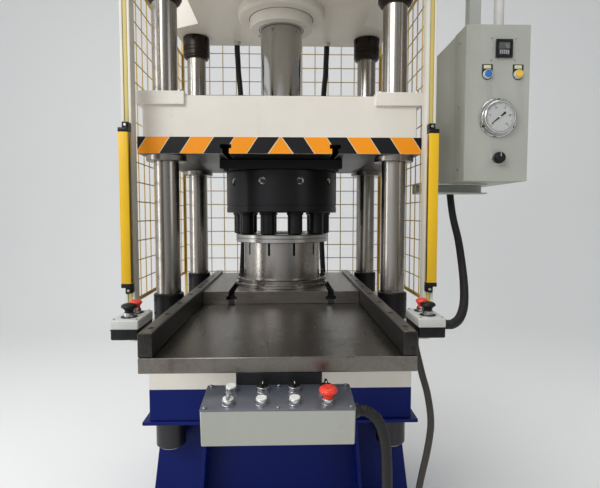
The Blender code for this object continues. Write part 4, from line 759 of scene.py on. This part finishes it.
die = {"radius": 0.157, "flange": 0.192, "flangeHigh": 0.012, "step": 0.183, "stepHigh": 0.031, "studs": 0.170,
       "windows": 10, "wide": 0.009, "tall": 0.050, "deep": 0.014, "ring": 0.189, "hole": 0.100}
radius, flange, step = die["radius"], die["flange"], die["step"]
low, high = heights("lower_die")
flangeTop, stepTop = low + die["flangeHigh"], low + die["stepHigh"]
shape = Shape().lathe([
    (0.0, low), (flange - 0.001, low), (flange, low + 0.001), (flange, flangeTop - 0.001),
    (flange - 0.001, flangeTop), (step, flangeTop), (step, stepTop - 0.003), (step - 0.003, stepTop),
    (radius, stepTop), (radius, high), (0.0, high)], dieSteel, 120)
dieBody = shape.piece("dieBody", "frame", "turned_steel", ["lower_die"])
# painted shade: the walls of the die's windows take the near-black finish
windows = Shape()
for angle in around(die["windows"], -math.pi / 2 + math.pi / die["windows"]):
    windows.box((radius - die["deep"], -die["wide"] / 2, high - die["tall"]),
                (radius + 0.010, die["wide"] / 2, high + 0.010), inkBlack, 0.0, spun(angle))
carved(dieBody, windows)
low, high = heights("die_ring")
mid = (low + high) / 2
hole, rim = die["hole"], die["ring"]
shape = Shape().lathe([(hole, low), (rim - 0.002, low), (rim, low + 0.002), (rim, mid - 0.002),
                       (rim - 0.0025, mid - 0.0005), (rim - 0.0025, mid + 0.0005), (rim, mid + 0.002),
                       (rim, high - 0.003), (rim - 0.003, high), (hole + 0.003, high), (hole, high - 0.003)],
                      ringSteel, 120)
shape.piece("dieRing", "frame", "turned_steel", ["die_ring"])

tool = {"radius": 0.226, "post": 0.028, "postHigh": 0.085, "circle": 0.170, "count": 10, "groove": 0.024,
        "pocket": 0.117, "pocketRadius": 0.0115, "screw": 0.2155}
low, high = heights("upper_tool")
headLow = low + tool["postHigh"]
groove = headLow + tool["groove"]
pocketZ = headLow + tool["pocket"]
toolTurns = around(tool["count"], -math.pi / 2 + math.pi / tool["count"])
radius, post, pocket = tool["radius"], tool["post"], tool["pocketRadius"]
shape = Shape().lathe([
    (0.0, headLow), (radius - 0.003, headLow), (radius, headLow + 0.003), (radius, groove),
    (radius - 0.003, groove + 0.0005), (radius - 0.003, groove + 0.0035), (radius, groove + 0.004),
    (radius, high - 0.002), (radius - 0.002, high), (0.0, high)], blackOxide, 120)
for angle in toolTurns:
    shape.lathe([(0.0, low), (post - 0.004, low), (post, low + 0.004), (post, headLow - 0.010),
                 (post + 0.004, headLow - 0.008), (post + 0.004, headLow + 0.001), (0.0, headLow + 0.001)],
                blackOxide, 32, moved(tool["circle"] * math.cos(angle), tool["circle"] * math.sin(angle)))
toolHead = shape.piece("toolHead", "slide_beam", "blackened_steel", ["upper_tool"])
pockets = Shape()
for angle in toolTurns:
    pockets.lathe([(0.0, -0.011), (pocket, -0.011), (pocket, -0.0030), (pocket + 0.0037, 0.0008),
                   (pocket + 0.0037, 0.004), (0.0, 0.004)], zinc, 28,
                  spun(angle) @ moved(radius, 0.0, pocketZ) @ spun(math.pi / 2, "Y"))
carved(toolHead, pockets)

print("hazard band")
band = {"low": 1.4057, "height": 0.057, "lean": 0.038, "first": 0.1168, "pitch": 0.1466, "width": 0.0735,
        "line": 0.003, "triangle": 0.041, "thick": 0.0008, "half": 0.4790, "front": -0.367}
half, neck, foot = band["half"], slot["neck"], slot["foot"]
low, high = band["low"] + 0.001, band["low"] + band["height"] - 0.001
ledge = band["low"] + slot["depth"]
roof = ledge + slot["footHigh"]
outline = [(half, low), (half, high), (-half, high), (-half, low)]
for x in (-slot["x"], slot["x"]):
    outline += [(x - neck, low), (x - neck, ledge), (x - foot, ledge), (x - foot, roof),
                (x + foot, roof), (x + foot, ledge), (x + neck, ledge), (x + neck, low)]
shape = Shape().prism(outline, band["front"] - band["thick"], band["front"] - 0.0001, bandFinish(band), "Y")
shape.piece("hazardBand", "slide_beam", "black_plastic")

print("wire guards")


def groupGraph(name, kinds):  # a Geometry Nodes group and its inputs
    graph = Graph(bpy.data.node_groups.new(name, "GeometryNodeTree"))
    graph.tree.interface.new_socket("Geometry", in_out="OUTPUT", socket_type="NodeSocketGeometry")
    for key, kind in kinds.items():
        graph.tree.interface.new_socket(key, in_out="INPUT", socket_type="NodeSocket" + kind)
    given = graph.tree.nodes.new("NodeGroupInput")
    return graph, {key: Wire(graph.tree, given.outputs[key]) for key in kinds}


def coated(graph, shape, finish):
    solid = graph.node("GeometryNodeRealizeInstances", None, {0: shape})
    coat = graph.node("GeometryNodeSetMaterial", None, {"Geometry": solid, "Material": finish})
    graph.node("NodeGroupOutput", None, {0: coat})
    return graph


def guardField():  # two layers of wires, upright and level
    kinds = {"Geometry": "Geometry", "Width": "Float", "Height": "Float", "Pitch": "Float", "Wire": "Float",
             "Paint": "Material"}
    graph, given = groupGraph("wireGuard", kinds)
    join = graph.node("GeometryNodeJoinGeometry")
    for along, across, axis, side, lean in (("Height", "Width", 0, 0.3, 0.0),
                                            ("Width", "Height", 2, -0.3, math.pi / 2)):
        share = given[across] / given["Pitch"]
        count = share.maths("ROUND", share)
        step = given[across] / count
        start = graph.node("ShaderNodeCombineXYZ", None,
                           {axis: step - given[across] * 0.5, 1: given["Wire"] * side})
        offset = graph.node("ShaderNodeCombineXYZ", None, {axis: step})
        line = graph.node("GeometryNodeMeshLine", None,
                          {"Count": count - 1.0, "Start Location": start, "Offset": offset})
        wire = graph.node("GeometryNodeMeshCylinder", None,
                          {"Vertices": 8, "Radius": given["Wire"], "Depth": given[along]})
        turn = graph.node("FunctionNodeEulerToRotation", None, {0: (0.0, lean, 0.0)})
        feed(graph.tree, join.out.node.inputs[0], graph.node(
            "GeometryNodeInstanceOnPoints", None, {"Points": line, "Instance": wire, "Rotation": turn}))
    return coated(graph, join, given["Paint"])


def grown(name, graph, values, points=None):
    seed = linked(name + "Seed", points or bpy.data.meshes.new(name + "Seed"))
    step = seed.modifiers.new("grow", "NODES")
    step.node_group = graph.tree
    for item in graph.tree.interface.items_tree:
        if item.name in values:
            step[item.identifier] = values[item.name]
    made = plainMesh(seed)
    bpy.data.objects.remove(seed)
    return made


def fourBars(shape, across, up, wide, depth, finish, edge, place=None):  # a frame round an opening
    left, right = across
    low, high = up
    for lowX, highX, lowZ, highZ in ((left, right, low, low + wide), (left, right, high - wide, high),
                                     (left, left + wide, low + wide, high - wide),
                                     (right - wide, right, low + wide, high - wide)):
        shape.box((lowX, depth[0], lowZ), (highX, depth[1], highZ), finish, edge, place)


guard = {"pitch": 0.068, "wire": 0.0021, "border": 0.014, "thick": 0.005}
guardGraph = guardField()


def guardPiece(name, node, width, low, high, place):
    border, half = guard["border"], guard["thick"] / 2
    part = bmesh.new()
    values = {"Width": width - border, "Height": high - low - border, "Pitch": guard["pitch"],
              "Wire": guard["wire"], "Paint": wireYellow}
    part.from_mesh(grown(name, guardGraph, values))
    shape = Shape().take(part, wireYellow, place @ moved(0.0, 0.0, (low + high) / 2))
    fourBars(shape, (-width / 2, width / 2), (low, high), border, (-half, half), wireYellow, 0.0012, place)
    shape.piece(name, "frame", "yellow_paint", [node])


for side, word in bothSides:
    low, high = nodeBox("side_guard_" + word)
    place = moved((low[0] + high[0]) / 2, (low[1] + high[1]) / 2) @ spun(math.pi / 2)
    guardPiece("sideMesh" + word.title(), "side_guard_" + word, high[1] - low[1], low[2], high[2], place)
low, high = nodeBox("back_guard")
place = moved(0.0, high[1] - guard["thick"] / 2 - 0.0004)
guardPiece("backMesh", "back_guard", high[0] - low[0], low[2], high[2], place)

print("screws")


def screwField():  # a head on every point, turned to its facing and scaled to its size
    graph, given = groupGraph("screwField", {"Geometry": "Geometry", "Head": "Object", "Metal": "Material"})
    attribute = "GeometryNodeInputNamedAttribute"
    facing = graph.node(attribute, {"data_type": "FLOAT_VECTOR"}, {"Name": "facing"}, "Attribute")
    size = graph.node(attribute, {"data_type": "FLOAT"}, {"Name": "size"}, "Attribute")
    turn = graph.node("FunctionNodeAlignRotationToVector", {"axis": "Z"}, {"Vector": facing})
    head = graph.node("GeometryNodeObjectInfo", None, {"Object": given["Head"]}, "Geometry")
    heads = graph.node("GeometryNodeInstanceOnPoints", None,
                       {"Points": given["Geometry"], "Instance": head, "Rotation": turn, "Scale": size})
    return coated(graph, heads, given["Metal"])


def headSeed(name, shape, angle):  # a head of radius 1 that takes its material where it is used
    data = shape.bare(name, angle, False)
    data.materials.clear()
    return bpy.data.objects.new(name + "Seed", data)


capSeed = headSeed("capHead", Shape().lathe([
    (0.0, -0.05), (0.90, -0.05), (1.0, 0.05), (1.0, 0.78), (0.88, 0.90), (0.56, 0.90), (0.52, 0.86),
    (0.52, 0.35), (0.0, 0.25)], screwBlack, 12), 35)
hexShape = Shape().disc(1.0, -0.05, 0.12, screwBlack, 20, None, (0.04, 0.04))
hexSeed = headSeed("hexHead", hexShape.disc(0.80, 0.10, 0.66, screwBlack, 6, None, (0.10, 0.08)), 30)
screwGraph = screwField()
upward, downward, frontward, sideward = (0, 0, 1), (0, 0, -1), (0, -1, 0), (-1, 0, 0)


def screws(name, body, spots, metal=screwBlack, seed=capSeed):
    data = bpy.data.meshes.new(name + "Points")
    data.from_pydata([(x + pressX, y + pressY, z) for (x, y, z), facing, size in spots], [], [])
    facings = [part for spot, facing, size in spots for part in facing]
    data.attributes.new("facing", "FLOAT_VECTOR", "POINT").data.foreach_set("vector", facings)
    sizes = [size for spot, facing, size in spots]
    data.attributes.new("size", "FLOAT", "POINT").data.foreach_set("value", sizes)
    made = linked(name, grown(name, screwGraph, {"Head": seed, "Metal": metal}, data))
    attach(made, body)


def ringOf(count, radius, z, facing, size, phase):
    return [((radius * math.cos(t), radius * math.sin(t), z), facing, size) for t in around(count, phase)]


fixing = {"cylinderCircle": 0.109, "collarTurn": 0.9, "collarLevels": (0.025, 0.070), "dieCircle": 0.1875,
          "plate": 0.205, "pad": 0.062, "coverX": 0.110, "coverZ": 0.632, "floorX": 0.495, "floorY": 0.340,
          "floorZ": 0.020}
spots = ringOf(4, fixing["cylinderCircle"], cylLow, downward, 0.0050, -2.1)
screws("cylinderScrews", "frame", spots, screwCream)
spots = []
for x, y in corners.values():
    for turn in (-fixing["collarTurn"], fixing["collarTurn"]):
        aside, out = math.sin(turn), -math.cos(turn)
        for up in fixing["collarLevels"]:
            spots.append(((x + collar * aside, y + collar * out, bedTop + up), (aside, out, 0.0), 0.0035))
for side, word in bothSides:
    spots += [((side * rail["x"], y, rail["top"] - rail["sink"]), upward, 0.0062) for y in railHoles]
screws("frameScrews", "frame", spots)
screws("dieScrews", "frame", ringOf(8, fixing["dieCircle"], flangeTop, upward, 0.0040, 0.39))
screws("dieNuts", "frame", [((side * die["studs"], 0.0, stepTop), upward, 0.0125) for side, word in bothSides],
       seed=hexSeed)
studs = Shape()
for side, word in bothSides:
    studs.disc(0.0060, stepTop + 0.001, stepTop + 0.025, screwBlack, 20, moved(side * die["studs"]),
               (0.0008, 0.001))
studs.piece("dieStuds", "frame", "blackened_steel")
spots = ringOf(tool["count"], tool["screw"], pocketZ, None, 0.0086, toolTurns[0])
spots = [(spot, (math.cos(t), math.sin(t), 0.0), size) for (spot, facing, size), t in zip(spots, toolTurns)]
plateLow = nodeBox("upper_plate")[0][2]
reach = (-fixing["plate"], fixing["plate"])
spots += [((x, y, plateLow), downward, 0.0095) for x in reach for y in reach]
screws("toolScrews", "slide_beam", spots)
padTop = nodeBox("slide")[1][2]
reach = (-fixing["pad"], fixing["pad"])
spots = [((x + dx, y + dy, padTop), upward, 0.0075) for x, y in corners.values() for dx in reach for dy in reach]
screws("padScrews", "slide_beam", spots, zinc)
coverFront = nodeBox("bed_cover")[0][1]
spots = [((side * fixing["coverX"], coverFront, fixing["coverZ"]), frontward, 0.0080) for side, word in bothSides]
screws("coverScrews", "frame", spots, zinc)
spots = [((side * fixing["floorX"], row * fixing["floorY"], fixing["floorZ"]), upward, 0.0180)
         for side, word in bothSides for row in (-1, 0, 1)]
screws("floorBolts", "frame", spots, seed=hexSeed)

print("light curtains")
mast = {"inner": 0.4625, "outer": 0.4935, "back": -0.4275, "groove": 0.014, "deep": 0.010, "strip": 0.0115,
        "foot": 0.018, "clips": (1.02, 1.45, 1.88), "clipNear": 0.478, "clipFar": 0.5015, "lug": 0.4345}
bar = {"x": 0.479, "half": 0.015, "deep": 0.030, "low": 0.983, "high": 1.457, "cap": 0.010, "shift": 0.005}
for side, word in bothSides:
    low, high = nodeBox("curtain_post_" + word)
    front, back = low[1], mast["back"]
    inside, foot = front + mast["deep"], low[2] + mast["foot"]
    mid = side * (mast["inner"] + mast["outer"]) / 2
    wide = (mast["outer"] - mast["inner"]) / 2
    half = mast["groove"] / 2
    outline = [(mid - wide, front), (mid - half, front), (mid - half, inside), (mid + half, inside),
               (mid + half, front), (mid + wide, front), (mid + wide, back), (mid - wide, back)]
    shape = Shape().prism(outline, foot, high[2], creamDark, "Z", None, 0.0012)
    half = mast["strip"] / 2
    shape.box((mid - half, front + 0.002, foot + 0.010), (mid + half, inside + 0.001, high[2] - 0.010),
              stripYellow, 0.0008)
    near, far = sorted((side * mast["clipNear"], side * mast["clipFar"]))
    for level in mast["clips"]:  # straps that hold the wire guard
        shape.box((near, back - 0.002, level), (far, back + 0.0030, level + 0.030), creamDark, 0.0010)
    near, far = sorted((side * mast["outer"], side * mast["lug"]))
    for level, tall, reach in ((low[2], 0.024, -0.370), (high[2] - 0.072, 0.036, -0.390)):
        shape.box((near, back - 0.012, level), (far, reach - seat, level + tall), creamDark, 0.0015)
    shape.piece("postProfile_" + word, "frame", "cream_paint", ["curtain_post_" + word])

    x, half, back = side * bar["x"], bar["half"], low[1] - seat - 0.004
    front, mid = back - bar["deep"], x - side * bar["shift"]
    shape = Shape().box((x - half, front, bar["low"]), (x + half, back, bar["high"]), yellow, 0.0025)
    inner = x - side * half
    near, far = sorted((inner - side * 0.0003, inner + side * 0.001))
    shape.box((near, front + 0.007, bar["low"] + 0.006), (far, back - 0.007, bar["high"] - 0.006), darkGlass,
              0.0003)
    for end, up in ((bar["low"], -1), (bar["high"], 1)):
        near, far = sorted((end - up * 0.004, end + up * bar["cap"]))
        shape.box((x - half - 0.0008, front - 0.0008, near), (x + half + 0.0008, back, far), blackPlastic,
                  0.002)
        near, far = sorted((end + up * (bar["cap"] - 0.001), end + up * 0.028))
        shape.box((mid - 0.010, back - 0.024, near), (mid + 0.010, back + 0.0042, far), blackPlate, 0.0015)
        shape.disc(0.0045, -0.001, 0.0030, zinc, 20, moved(mid, back - 0.024, (near + far) / 2, math.pi / 2),
                   (0.0007, 0.0008))
    shape.lathe([(0.0, -0.022), (0.0055, -0.020), (0.0060, -0.010), (0.0060, 0.001), (0.0, 0.001)], rubber, 20,
                moved(x, back - 0.016, bar["low"] - bar["cap"]))
    shape.piece("curtainBar_" + word, "frame", "yellow_paint", ["curtain_bar_" + word])

print("console")
desk = {"front": -1.000, "top": 0.790, "tilt": math.radians(6.7), "half": 0.165, "deep": 0.111, "pitch": 0.072,
        "frontRow": 0.026, "backRow": 0.082, "ring": 0.0146, "ringHigh": 0.0128, "cap": 0.0118, "bore": 0.0126,
        "capTop": 0.0150, "knobTop": 0.0142, "headLift": 0.0250, "stop": 0.0200}
slope = moved(0.0, desk["front"], desk["top"], desk["tilt"])


def consolePaint():
    f = Finish("consoleShellPaint")
    x, y, z = f.axes()
    broad, tone = f.clouds(0.7, (0.330, 0.338, 0.296), (0.285, 0.292, 0.255))
    tone = f.mix(f.streaks(9.0, 0.58, 0.80) * 0.4, tone, (0.17, 0.16, 0.13))
    lean = desk["tilt"]
    behind = (y - (desk["front"] + pressY)) * math.cos(lean) + (z - desk["top"]) * math.sin(lean)
    black = (behind > desk["deep"] + 0.0002).most(x - pressX > desk["half"] + 0.0008)
    tone = f.mix(black, tone, (0.006, 0.006, 0.0065))
    return f.use(tone, 0.46 + (broad - 0.5) * 0.16, f.noise(420.0, 2.0), 0.35, 0.00025)


def ringAt(shape, place, metal=ringChrome):  # plain ring that a cap runs in
    bore, outer, high = desk["bore"], desk["ring"], desk["ringHigh"]
    shape.lathe([(bore, 0.0003), (outer + 0.0006, 0.0003), (outer + 0.0006, 0.0014), (outer, 0.0020),
                 (outer, high - 0.0010), (outer - 0.0010, high), (bore + 0.0004, high), (bore, high - 0.0006)],
                metal, 48, place)


def pushCap(name, place, finish, slotName):
    cap, top = desk["cap"], desk["capTop"]
    shape = Shape().lathe([(0.0, top - 0.0085)] + stepped(cap, top, (
        (0.0, -0.0085), (0.0, -0.0014), (0.0004, -0.0006), (0.0014, 0.0), (0.0040, -0.0003)))
        + [(0.0, top - 0.0009)], finish, 48, place)
    shape.piece(name + "_cap", name, slotName, [name], 50)


def turnKnob(name, place, finish, slotName, lever):
    top = desk["knobTop"]
    shape = Shape().disc(desk["cap"], 0.0015, top, finish, 48, place, (0.0012, 0.0012))
    wide, long, high = 0.0040, 0.0115, top + 0.0088
    outline = [(-wide, -long + 0.002), (-wide * 0.6, -long), (wide * 0.6, -long), (wide, -long + 0.002),
               (wide * 0.8, long - 0.002), (wide * 0.5, long), (-wide * 0.5, long), (-wide * 0.8, long - 0.002)]
    shape.prism(outline, top - 0.001, high, lever, "Z", place, 0.0009)
    shape.box((-0.0007, -long + 0.001, high - 0.001), (0.0007, -0.002, high + 0.0002), dialWhite, 0.0, place)
    shape.piece(name + "_knob", name, slotName, [name], 50)


def stopHead(name, place, finish, slotName, radius):
    cap, lift = desk["cap"], desk["headLift"]
    profile = [(0.0, 0.0068), (cap, 0.0068), (cap, desk["ringHigh"] + 0.0042)]
    profile += [(cap + 0.35 * (radius - cap), lift - 0.0020)] + stepped(radius, lift, (
        (0.0014, 0.0012), (0.0, 0.0024), (0.0, 0.0044), (0.0012, 0.0078), (0.0045, 0.0104),
        (0.38 * radius, 0.0118), (0.45 * radius, 0.0120), (radius, 0.0120)))
    shape = Shape().lathe(profile, finish, 56, place)
    if finish is redPlastic:
        for angle in around(3, 0.4):
            shape.box((0.35 * radius, -0.0008, lift + 0.0112), (0.60 * radius, 0.0008, lift + 0.0121),
                      inkBlack, 0.0, place @ spun(angle))
    shape.piece(name + "_head", name, slotName, [name], 50)


softened("consoleShell", "console_box", consolePaint(), "frame", 0.0015)
half, deep = desk["half"], desk["deep"]
lid = Shape().box((-half - 0.001, -0.001, -0.003), (half + 0.001, deep + 0.001, 0.0), lidSteel, 0.0010, slope)
places = {row: [slope @ moved((k - 1.5) * desk["pitch"], desk[row]) for k in range(4)]
          for row in ("frontRow", "backRow")}
for place in places["frontRow"] + places["backRow"]:
    ringAt(lid, place)
lid.piece("consoleCover", "frame", "brushed_lid", ["console_lid"])
lean = tuple(slope.to_3x3() @ Vector(upward))
spots = [(tuple(slope @ Vector((x, y, 0.0))), lean, 0.0042)
         for x in (-0.156, 0.0, 0.156) for y in (0.007, 0.104)]
screws("coverScrewsLid", "frame", spots, zinc)
turnKnob("mode_selector", places["frontRow"][0], whitePlastic, "white_plastic", greyPlastic)
pushCap("up_button", places["frontRow"][1], whitePlastic, "white_plastic")
pushCap("down_button", places["frontRow"][2], whitePlastic, "white_plastic")
stopHead("console_stop", places["frontRow"][3], redPlastic, "red_plastic", desk["stop"])
pushCap("start_button", places["backRow"][0], whitePlastic, "white_plastic")
for place, name in zip(places["backRow"][1:], ("pump_selector", "ejector_selector", "key_selector")):
    turnKnob(name, place, blackPlastic, "black_plastic", blackPlastic)

print("hand boxes")
hand = {"x": 0.415, "half": 0.038, "front": -0.720, "long": 0.140, "low": 0.8647, "high": 0.9197,
        "joint": 0.8950, "palmAt": 0.045, "stopAt": 0.102, "palm": 0.0215, "stop": 0.018, "table": 0.3265,
        "plateNear": 0.025, "plateFar": 0.115, "cordX": 0.388, "cordY": -0.650}


def glandAt(shape, place, cordRadius, length):  # hexagon nut and domed cap round a cord
    inner, outer = cordRadius * 0.9, cordRadius * 1.35
    shape.lathe([(inner, -0.001), (outer, -0.001), (outer, 0.0), (outer, length * 0.45),
                 (inner, length * 0.45)], blackPlastic, 6, place)
    shape.lathe([(inner, length * 0.40), (outer * 0.90, length * 0.40), (outer * 0.90, length * 0.75),
                 (outer * 0.82, length * 0.92), (cordRadius * 1.08, length), (inner, length)],
                blackPlastic, 32, place)


half, front, low, joint, high = [hand[key] for key in ("half", "front", "low", "joint", "high")]
back = front + hand["long"]
for side, word in bothSides:
    x = side * hand["x"]
    shape = Shape()
    shape.box((x - half + 0.001, front + 0.001, low), (x + half - 0.001, back - 0.001, joint), blackPlastic,
              0.0040, None, 3)
    shape.box((x - half, front, joint - 0.002), (x + half, back, high), handWhite, 0.0045, None, 3)
    shape.box((x - half + 0.0006, front + 0.0006, joint - 0.0034),
              (x + half - 0.0006, back - 0.0006, joint - 0.0012), inkBlack)
    plug = moved(x, front + 0.001, low + 0.014, math.pi / 2)
    shape.disc(0.0102, -0.001, 0.0010, blackPlastic, 36, plug, (0.0004, 0.0004), 0.0085)
    shape.disc(0.0080, -0.001, 0.0006, blackPlastic, 36, plug)
    edge = side * (hand["table"] + seat)
    for reach, bottom, top in ((side * (hand["x"] + half / 2), low - 0.004, low + 0.001),
                               (edge + side * 0.004, low - 0.0035, low + 0.0048)):  # bracket to the table
        near, far = sorted((edge, reach))
        shape.box((near, front + hand["plateNear"], bottom), (far, front + hand["plateFar"], top), blackPlate,
                  0.0008)
    palmPlace, stopPlace = [moved(x, front + hand[key], high) for key in ("palmAt", "stopAt")]
    for place in (palmPlace, stopPlace):
        shape.disc(0.0245, 0.0002, 0.0016, inkBlack, 48, place @ Matrix.Diagonal((0.92, 1.0, 1.0, 1.0)),
                   (0.0010, 0.0006), desk["bore"])
        ringAt(shape, place)
    if side == 1:
        out = moved(x + half - 0.001, hand["cordY"], low + 0.0213) @ spun(math.pi / 2, "Y")
        glandAt(shape, out, conduit["radius"], 0.017)
        down = moved(hand["cordX"], hand["cordY"], low - 0.003) @ spun(math.pi, "X")
        glandAt(shape, down, cable["radius"], 0.013)
    shape.piece("handBox_" + word, "frame", "white_plastic", ["hand_box_" + word])
    stopHead("palm_button_" + word, palmPlace, blackPlastic, "black_plastic", hand["palm"])
    stopHead("hand_stop_" + word, stopPlace, redPlastic, "red_plastic", hand["stop"])
    spots = [((x + dx, front + dy, high), upward, 0.0030) for dx in (-0.030, 0.030) for dy in (0.010, 0.130)]
    screws("handScrews_" + word, "frame", spots, zinc)

print("cabinet")
door = {"face": nodeBox("pressure_gauge")[1][1] + seat, "meterX": 0.7560, "meterZ": 1.762, "meterW": 0.056,
        "meterH": 0.060, "meterRim": 0.008, "blueX": 0.702, "yellowX": 0.808, "buttonZ": 1.677,
        "gaugeX": 0.7405, "gaugeZ": 1.531, "knobX": 0.744, "knobZ": 1.395, "digits": 5, "digitPitch": 0.0068,
        "hingeY": -0.300}


def doorPaint():
    f = Finish("doorPaint")
    x, y, z = f.axes()
    broad, tone = f.clouds(0.7, (0.345, 0.352, 0.308), (0.300, 0.307, 0.270))
    tone = f.mix(f.streaks(8.0, 0.60, 0.82, 0.25) * 0.3, tone, (0.18, 0.17, 0.14))
    face = door["face"] + pressY
    proud = y < face - 0.0004
    window = proud * (z > door["meterZ"] - door["meterH"] / 2 - 0.002) * (y > face - 0.0080)
    tone = f.mix(proud, tone, (0.006, 0.006, 0.0065))
    tone = f.mix(window, tone, (0.060, 0.062, 0.058))
    return f.use(tone, 0.46 + (broad - 0.5) * 0.14 - window * 0.25, f.noise(420.0, 2.0), 0.35, 0.00025)


def onDoor(x, z):
    return moved(x, door["face"], z, math.pi / 2)


softened("doorLeaf", "cabinet_door", doorPaint(), "door", 0.0012)
trim = Shape()
rim = door["meterRim"]
left, right = door["meterX"] - door["meterW"] / 2, door["meterX"] + door["meterW"] / 2
low, high = door["meterZ"] - door["meterH"] / 2, door["meterZ"] + door["meterH"] / 2
face = door["face"] - 0.010
fourBars(trim, (left, right), (low, high), rim, (face - 0.0006, face + 0.004), blackPlastic, 0.0006)
for bottom, top, finish in ((low + 0.030, high - rim, lampWindow), (low + rim, low + 0.0285, darkGlass)):
    trim.box((left + rim, face + 0.0022, bottom), (right - rim, face + 0.004, top), finish, 0.0003)
for k in range(door["digits"]):
    x = left + 0.012 + door["digitPitch"] * k
    trim.box((x, face + 0.0016, low + 0.011), (x + 0.0052, face + 0.0030, low + 0.0255), greyPlastic, 0.0006)
for x in (door["blueX"], door["yellowX"]):
    ringAt(trim, onDoor(x, door["buttonZ"]), paleRing)
    trim.box((x - 0.0125, door["face"] - 0.0018, door["buttonZ"] + 0.0195),
             (x + 0.0125, door["face"] - 0.0009, door["buttonZ"] + 0.0310), legendPale, 0.0003)
at = onDoor(door["knobX"], door["knobZ"])
ringAt(trim, at)
trim.disc(0.0235, 0.0, 0.0012, zinc, 48, at, (0.0007, 0.0004))
trim.piece("doorTrim", "door", "black_plastic", smooth=40)
spots = [((x, door["face"], z), frontward, 0.0034) for x in (left - 0.012, right + 0.012)
         for z in (low - 0.006, high + 0.006)]
hingeSide = nodeBox("cabinet_door")[0][0]
spots += [((hingeSide, door["hingeY"], z), sideward, 0.0040) for z in (1.360, 1.580, 1.800)]
screws("doorScrews", "door", spots, zinc)
pushCap("lamp_button_blue", onDoor(door["blueX"], door["buttonZ"]), bluePlastic, "blue_plastic")
pushCap("lamp_button_yellow", onDoor(door["yellowX"], door["buttonZ"]), yellowPlastic, "yellow_paint")
rise = 0.0113  # foot of the knob's grip, out from the door
profile = [(0.0, 0.0056), (0.0118, 0.0056)] + stepped(0.0198, rise, (
    (0.0080, 0.0004), (0.0008, 0.0004), (0.0, 0.0014), (0.0, 0.0045), (0.0022, 0.0060), (0.0030, 0.0165),
    (0.0043, 0.0180), (0.0198, 0.0180)))
knob = Shape().lathe(profile, blackPlastic, 56, at)
for angle in around(16):
    knob.box((0.0160, -0.0011, rise + 0.0062), (0.0182, 0.0011, rise + 0.0162), blackPlastic, 0.0004,
             at @ spun(angle))
knob.box((-0.0007, 0.0040, rise + 0.0170), (0.0007, 0.0150, rise + 0.0183), dialWhite, 0.0, at)
knob.piece("dialKnob", "dial_knob", "black_plastic", ["dial_knob"], 50)

print("pressure gauge")
gauge = {"flange": 0.0655, "rim": 0.0560, "glass": 0.0485, "proud": 0.0280, "dial": 0.0215, "marks": 50,
         "start": 225.0, "sweep": 270.0, "numbers": 5, "numberStep": 5, "markEnd": 0.0455,
         "numberCircle": 0.0335, "letter": 0.0095, "needle": 6.0, "screwCircle": 0.0605}
at = onDoor(door["gaugeX"], door["gaugeZ"])
flange, rim, glass, proud, dial = [gauge[key] for key in ("flange", "rim", "glass", "proud", "dial")]
face = Shape().lathe([
    (0.0, 0.0003), (flange - 0.002, 0.0003), (flange, 0.0020), (flange, 0.0060), (flange - 0.002, 0.0078),
    (rim + 0.001, 0.0080), (rim, 0.0095), (rim, proud - 0.004), (rim - 0.002, proud - 0.001),
    (rim - 0.004, proud), (glass + 0.001, proud - 0.001), (glass, proud - 0.003), (glass, dial), (0.0, dial)],
    gaugeChrome, 96, at)
face.disc(glass - 0.0003, dial - 0.001, dial + 0.0003, dialPale, 72, at)
for k in range(gauge["marks"] + 1):
    long = 0.0065 if k % 10 == 0 else 0.0045 if k % 5 == 0 else 0.0028
    wide = 0.0006 if k % 5 == 0 else 0.0003
    turn = spun(math.radians(gauge["start"] - gauge["sweep"] * k / gauge["marks"]))
    face.box((gauge["markEnd"] - long, -wide, dial + 0.0002), (gauge["markEnd"], wide, dial + 0.0005),
             inkBlack, 0.0, at @ turn)
for k in range(gauge["numbers"] + 1):
    letters = bpy.data.curves.new("number", "FONT")
    letters.body = str(k * gauge["numberStep"])
    letters.size = gauge["letter"]
    letters.align_x = "CENTER"
    letters.align_y = "CENTER"
    letters.extrude = 0.00015
    holder = linked("number", letters)
    part = bmesh.new()
    part.from_mesh(plainMesh(holder))
    bpy.data.objects.remove(holder)
    angle = math.radians(gauge["start"] - gauge["sweep"] * k / gauge["numbers"])
    circle = gauge["numberCircle"]
    face.take(part, inkBlack, at @ moved(circle * math.cos(angle), circle * math.sin(angle), dial + 0.0004))
needle = [(-0.024, -0.0036), (-0.024, 0.0036), (-0.008, 0.0022), (0.0, 0.0026), (0.037, 0.0006),
          (0.037, -0.0006), (0.0, -0.0026), (-0.008, -0.0022)]
face.prism(needle, dial + 0.0012, dial + 0.0020, inkBlack, "Z",
           at @ spun(math.radians(gauge["start"] - gauge["needle"])))
face.disc(0.0042, dial, dial + 0.0032, gaugeChrome, 32, at, (0.0008, 0.0006))
for angle in around(3, math.pi / 2):
    face.disc(0.0036, -0.0005, 0.0020, screwBlack, 20,
              at @ spun(angle) @ moved(gauge["screwCircle"], 0.0, 0.0078), (0.0008, 0.0008))
face.piece("gaugeFace", "door", "hard_chrome", ["pressure_gauge"], 40)
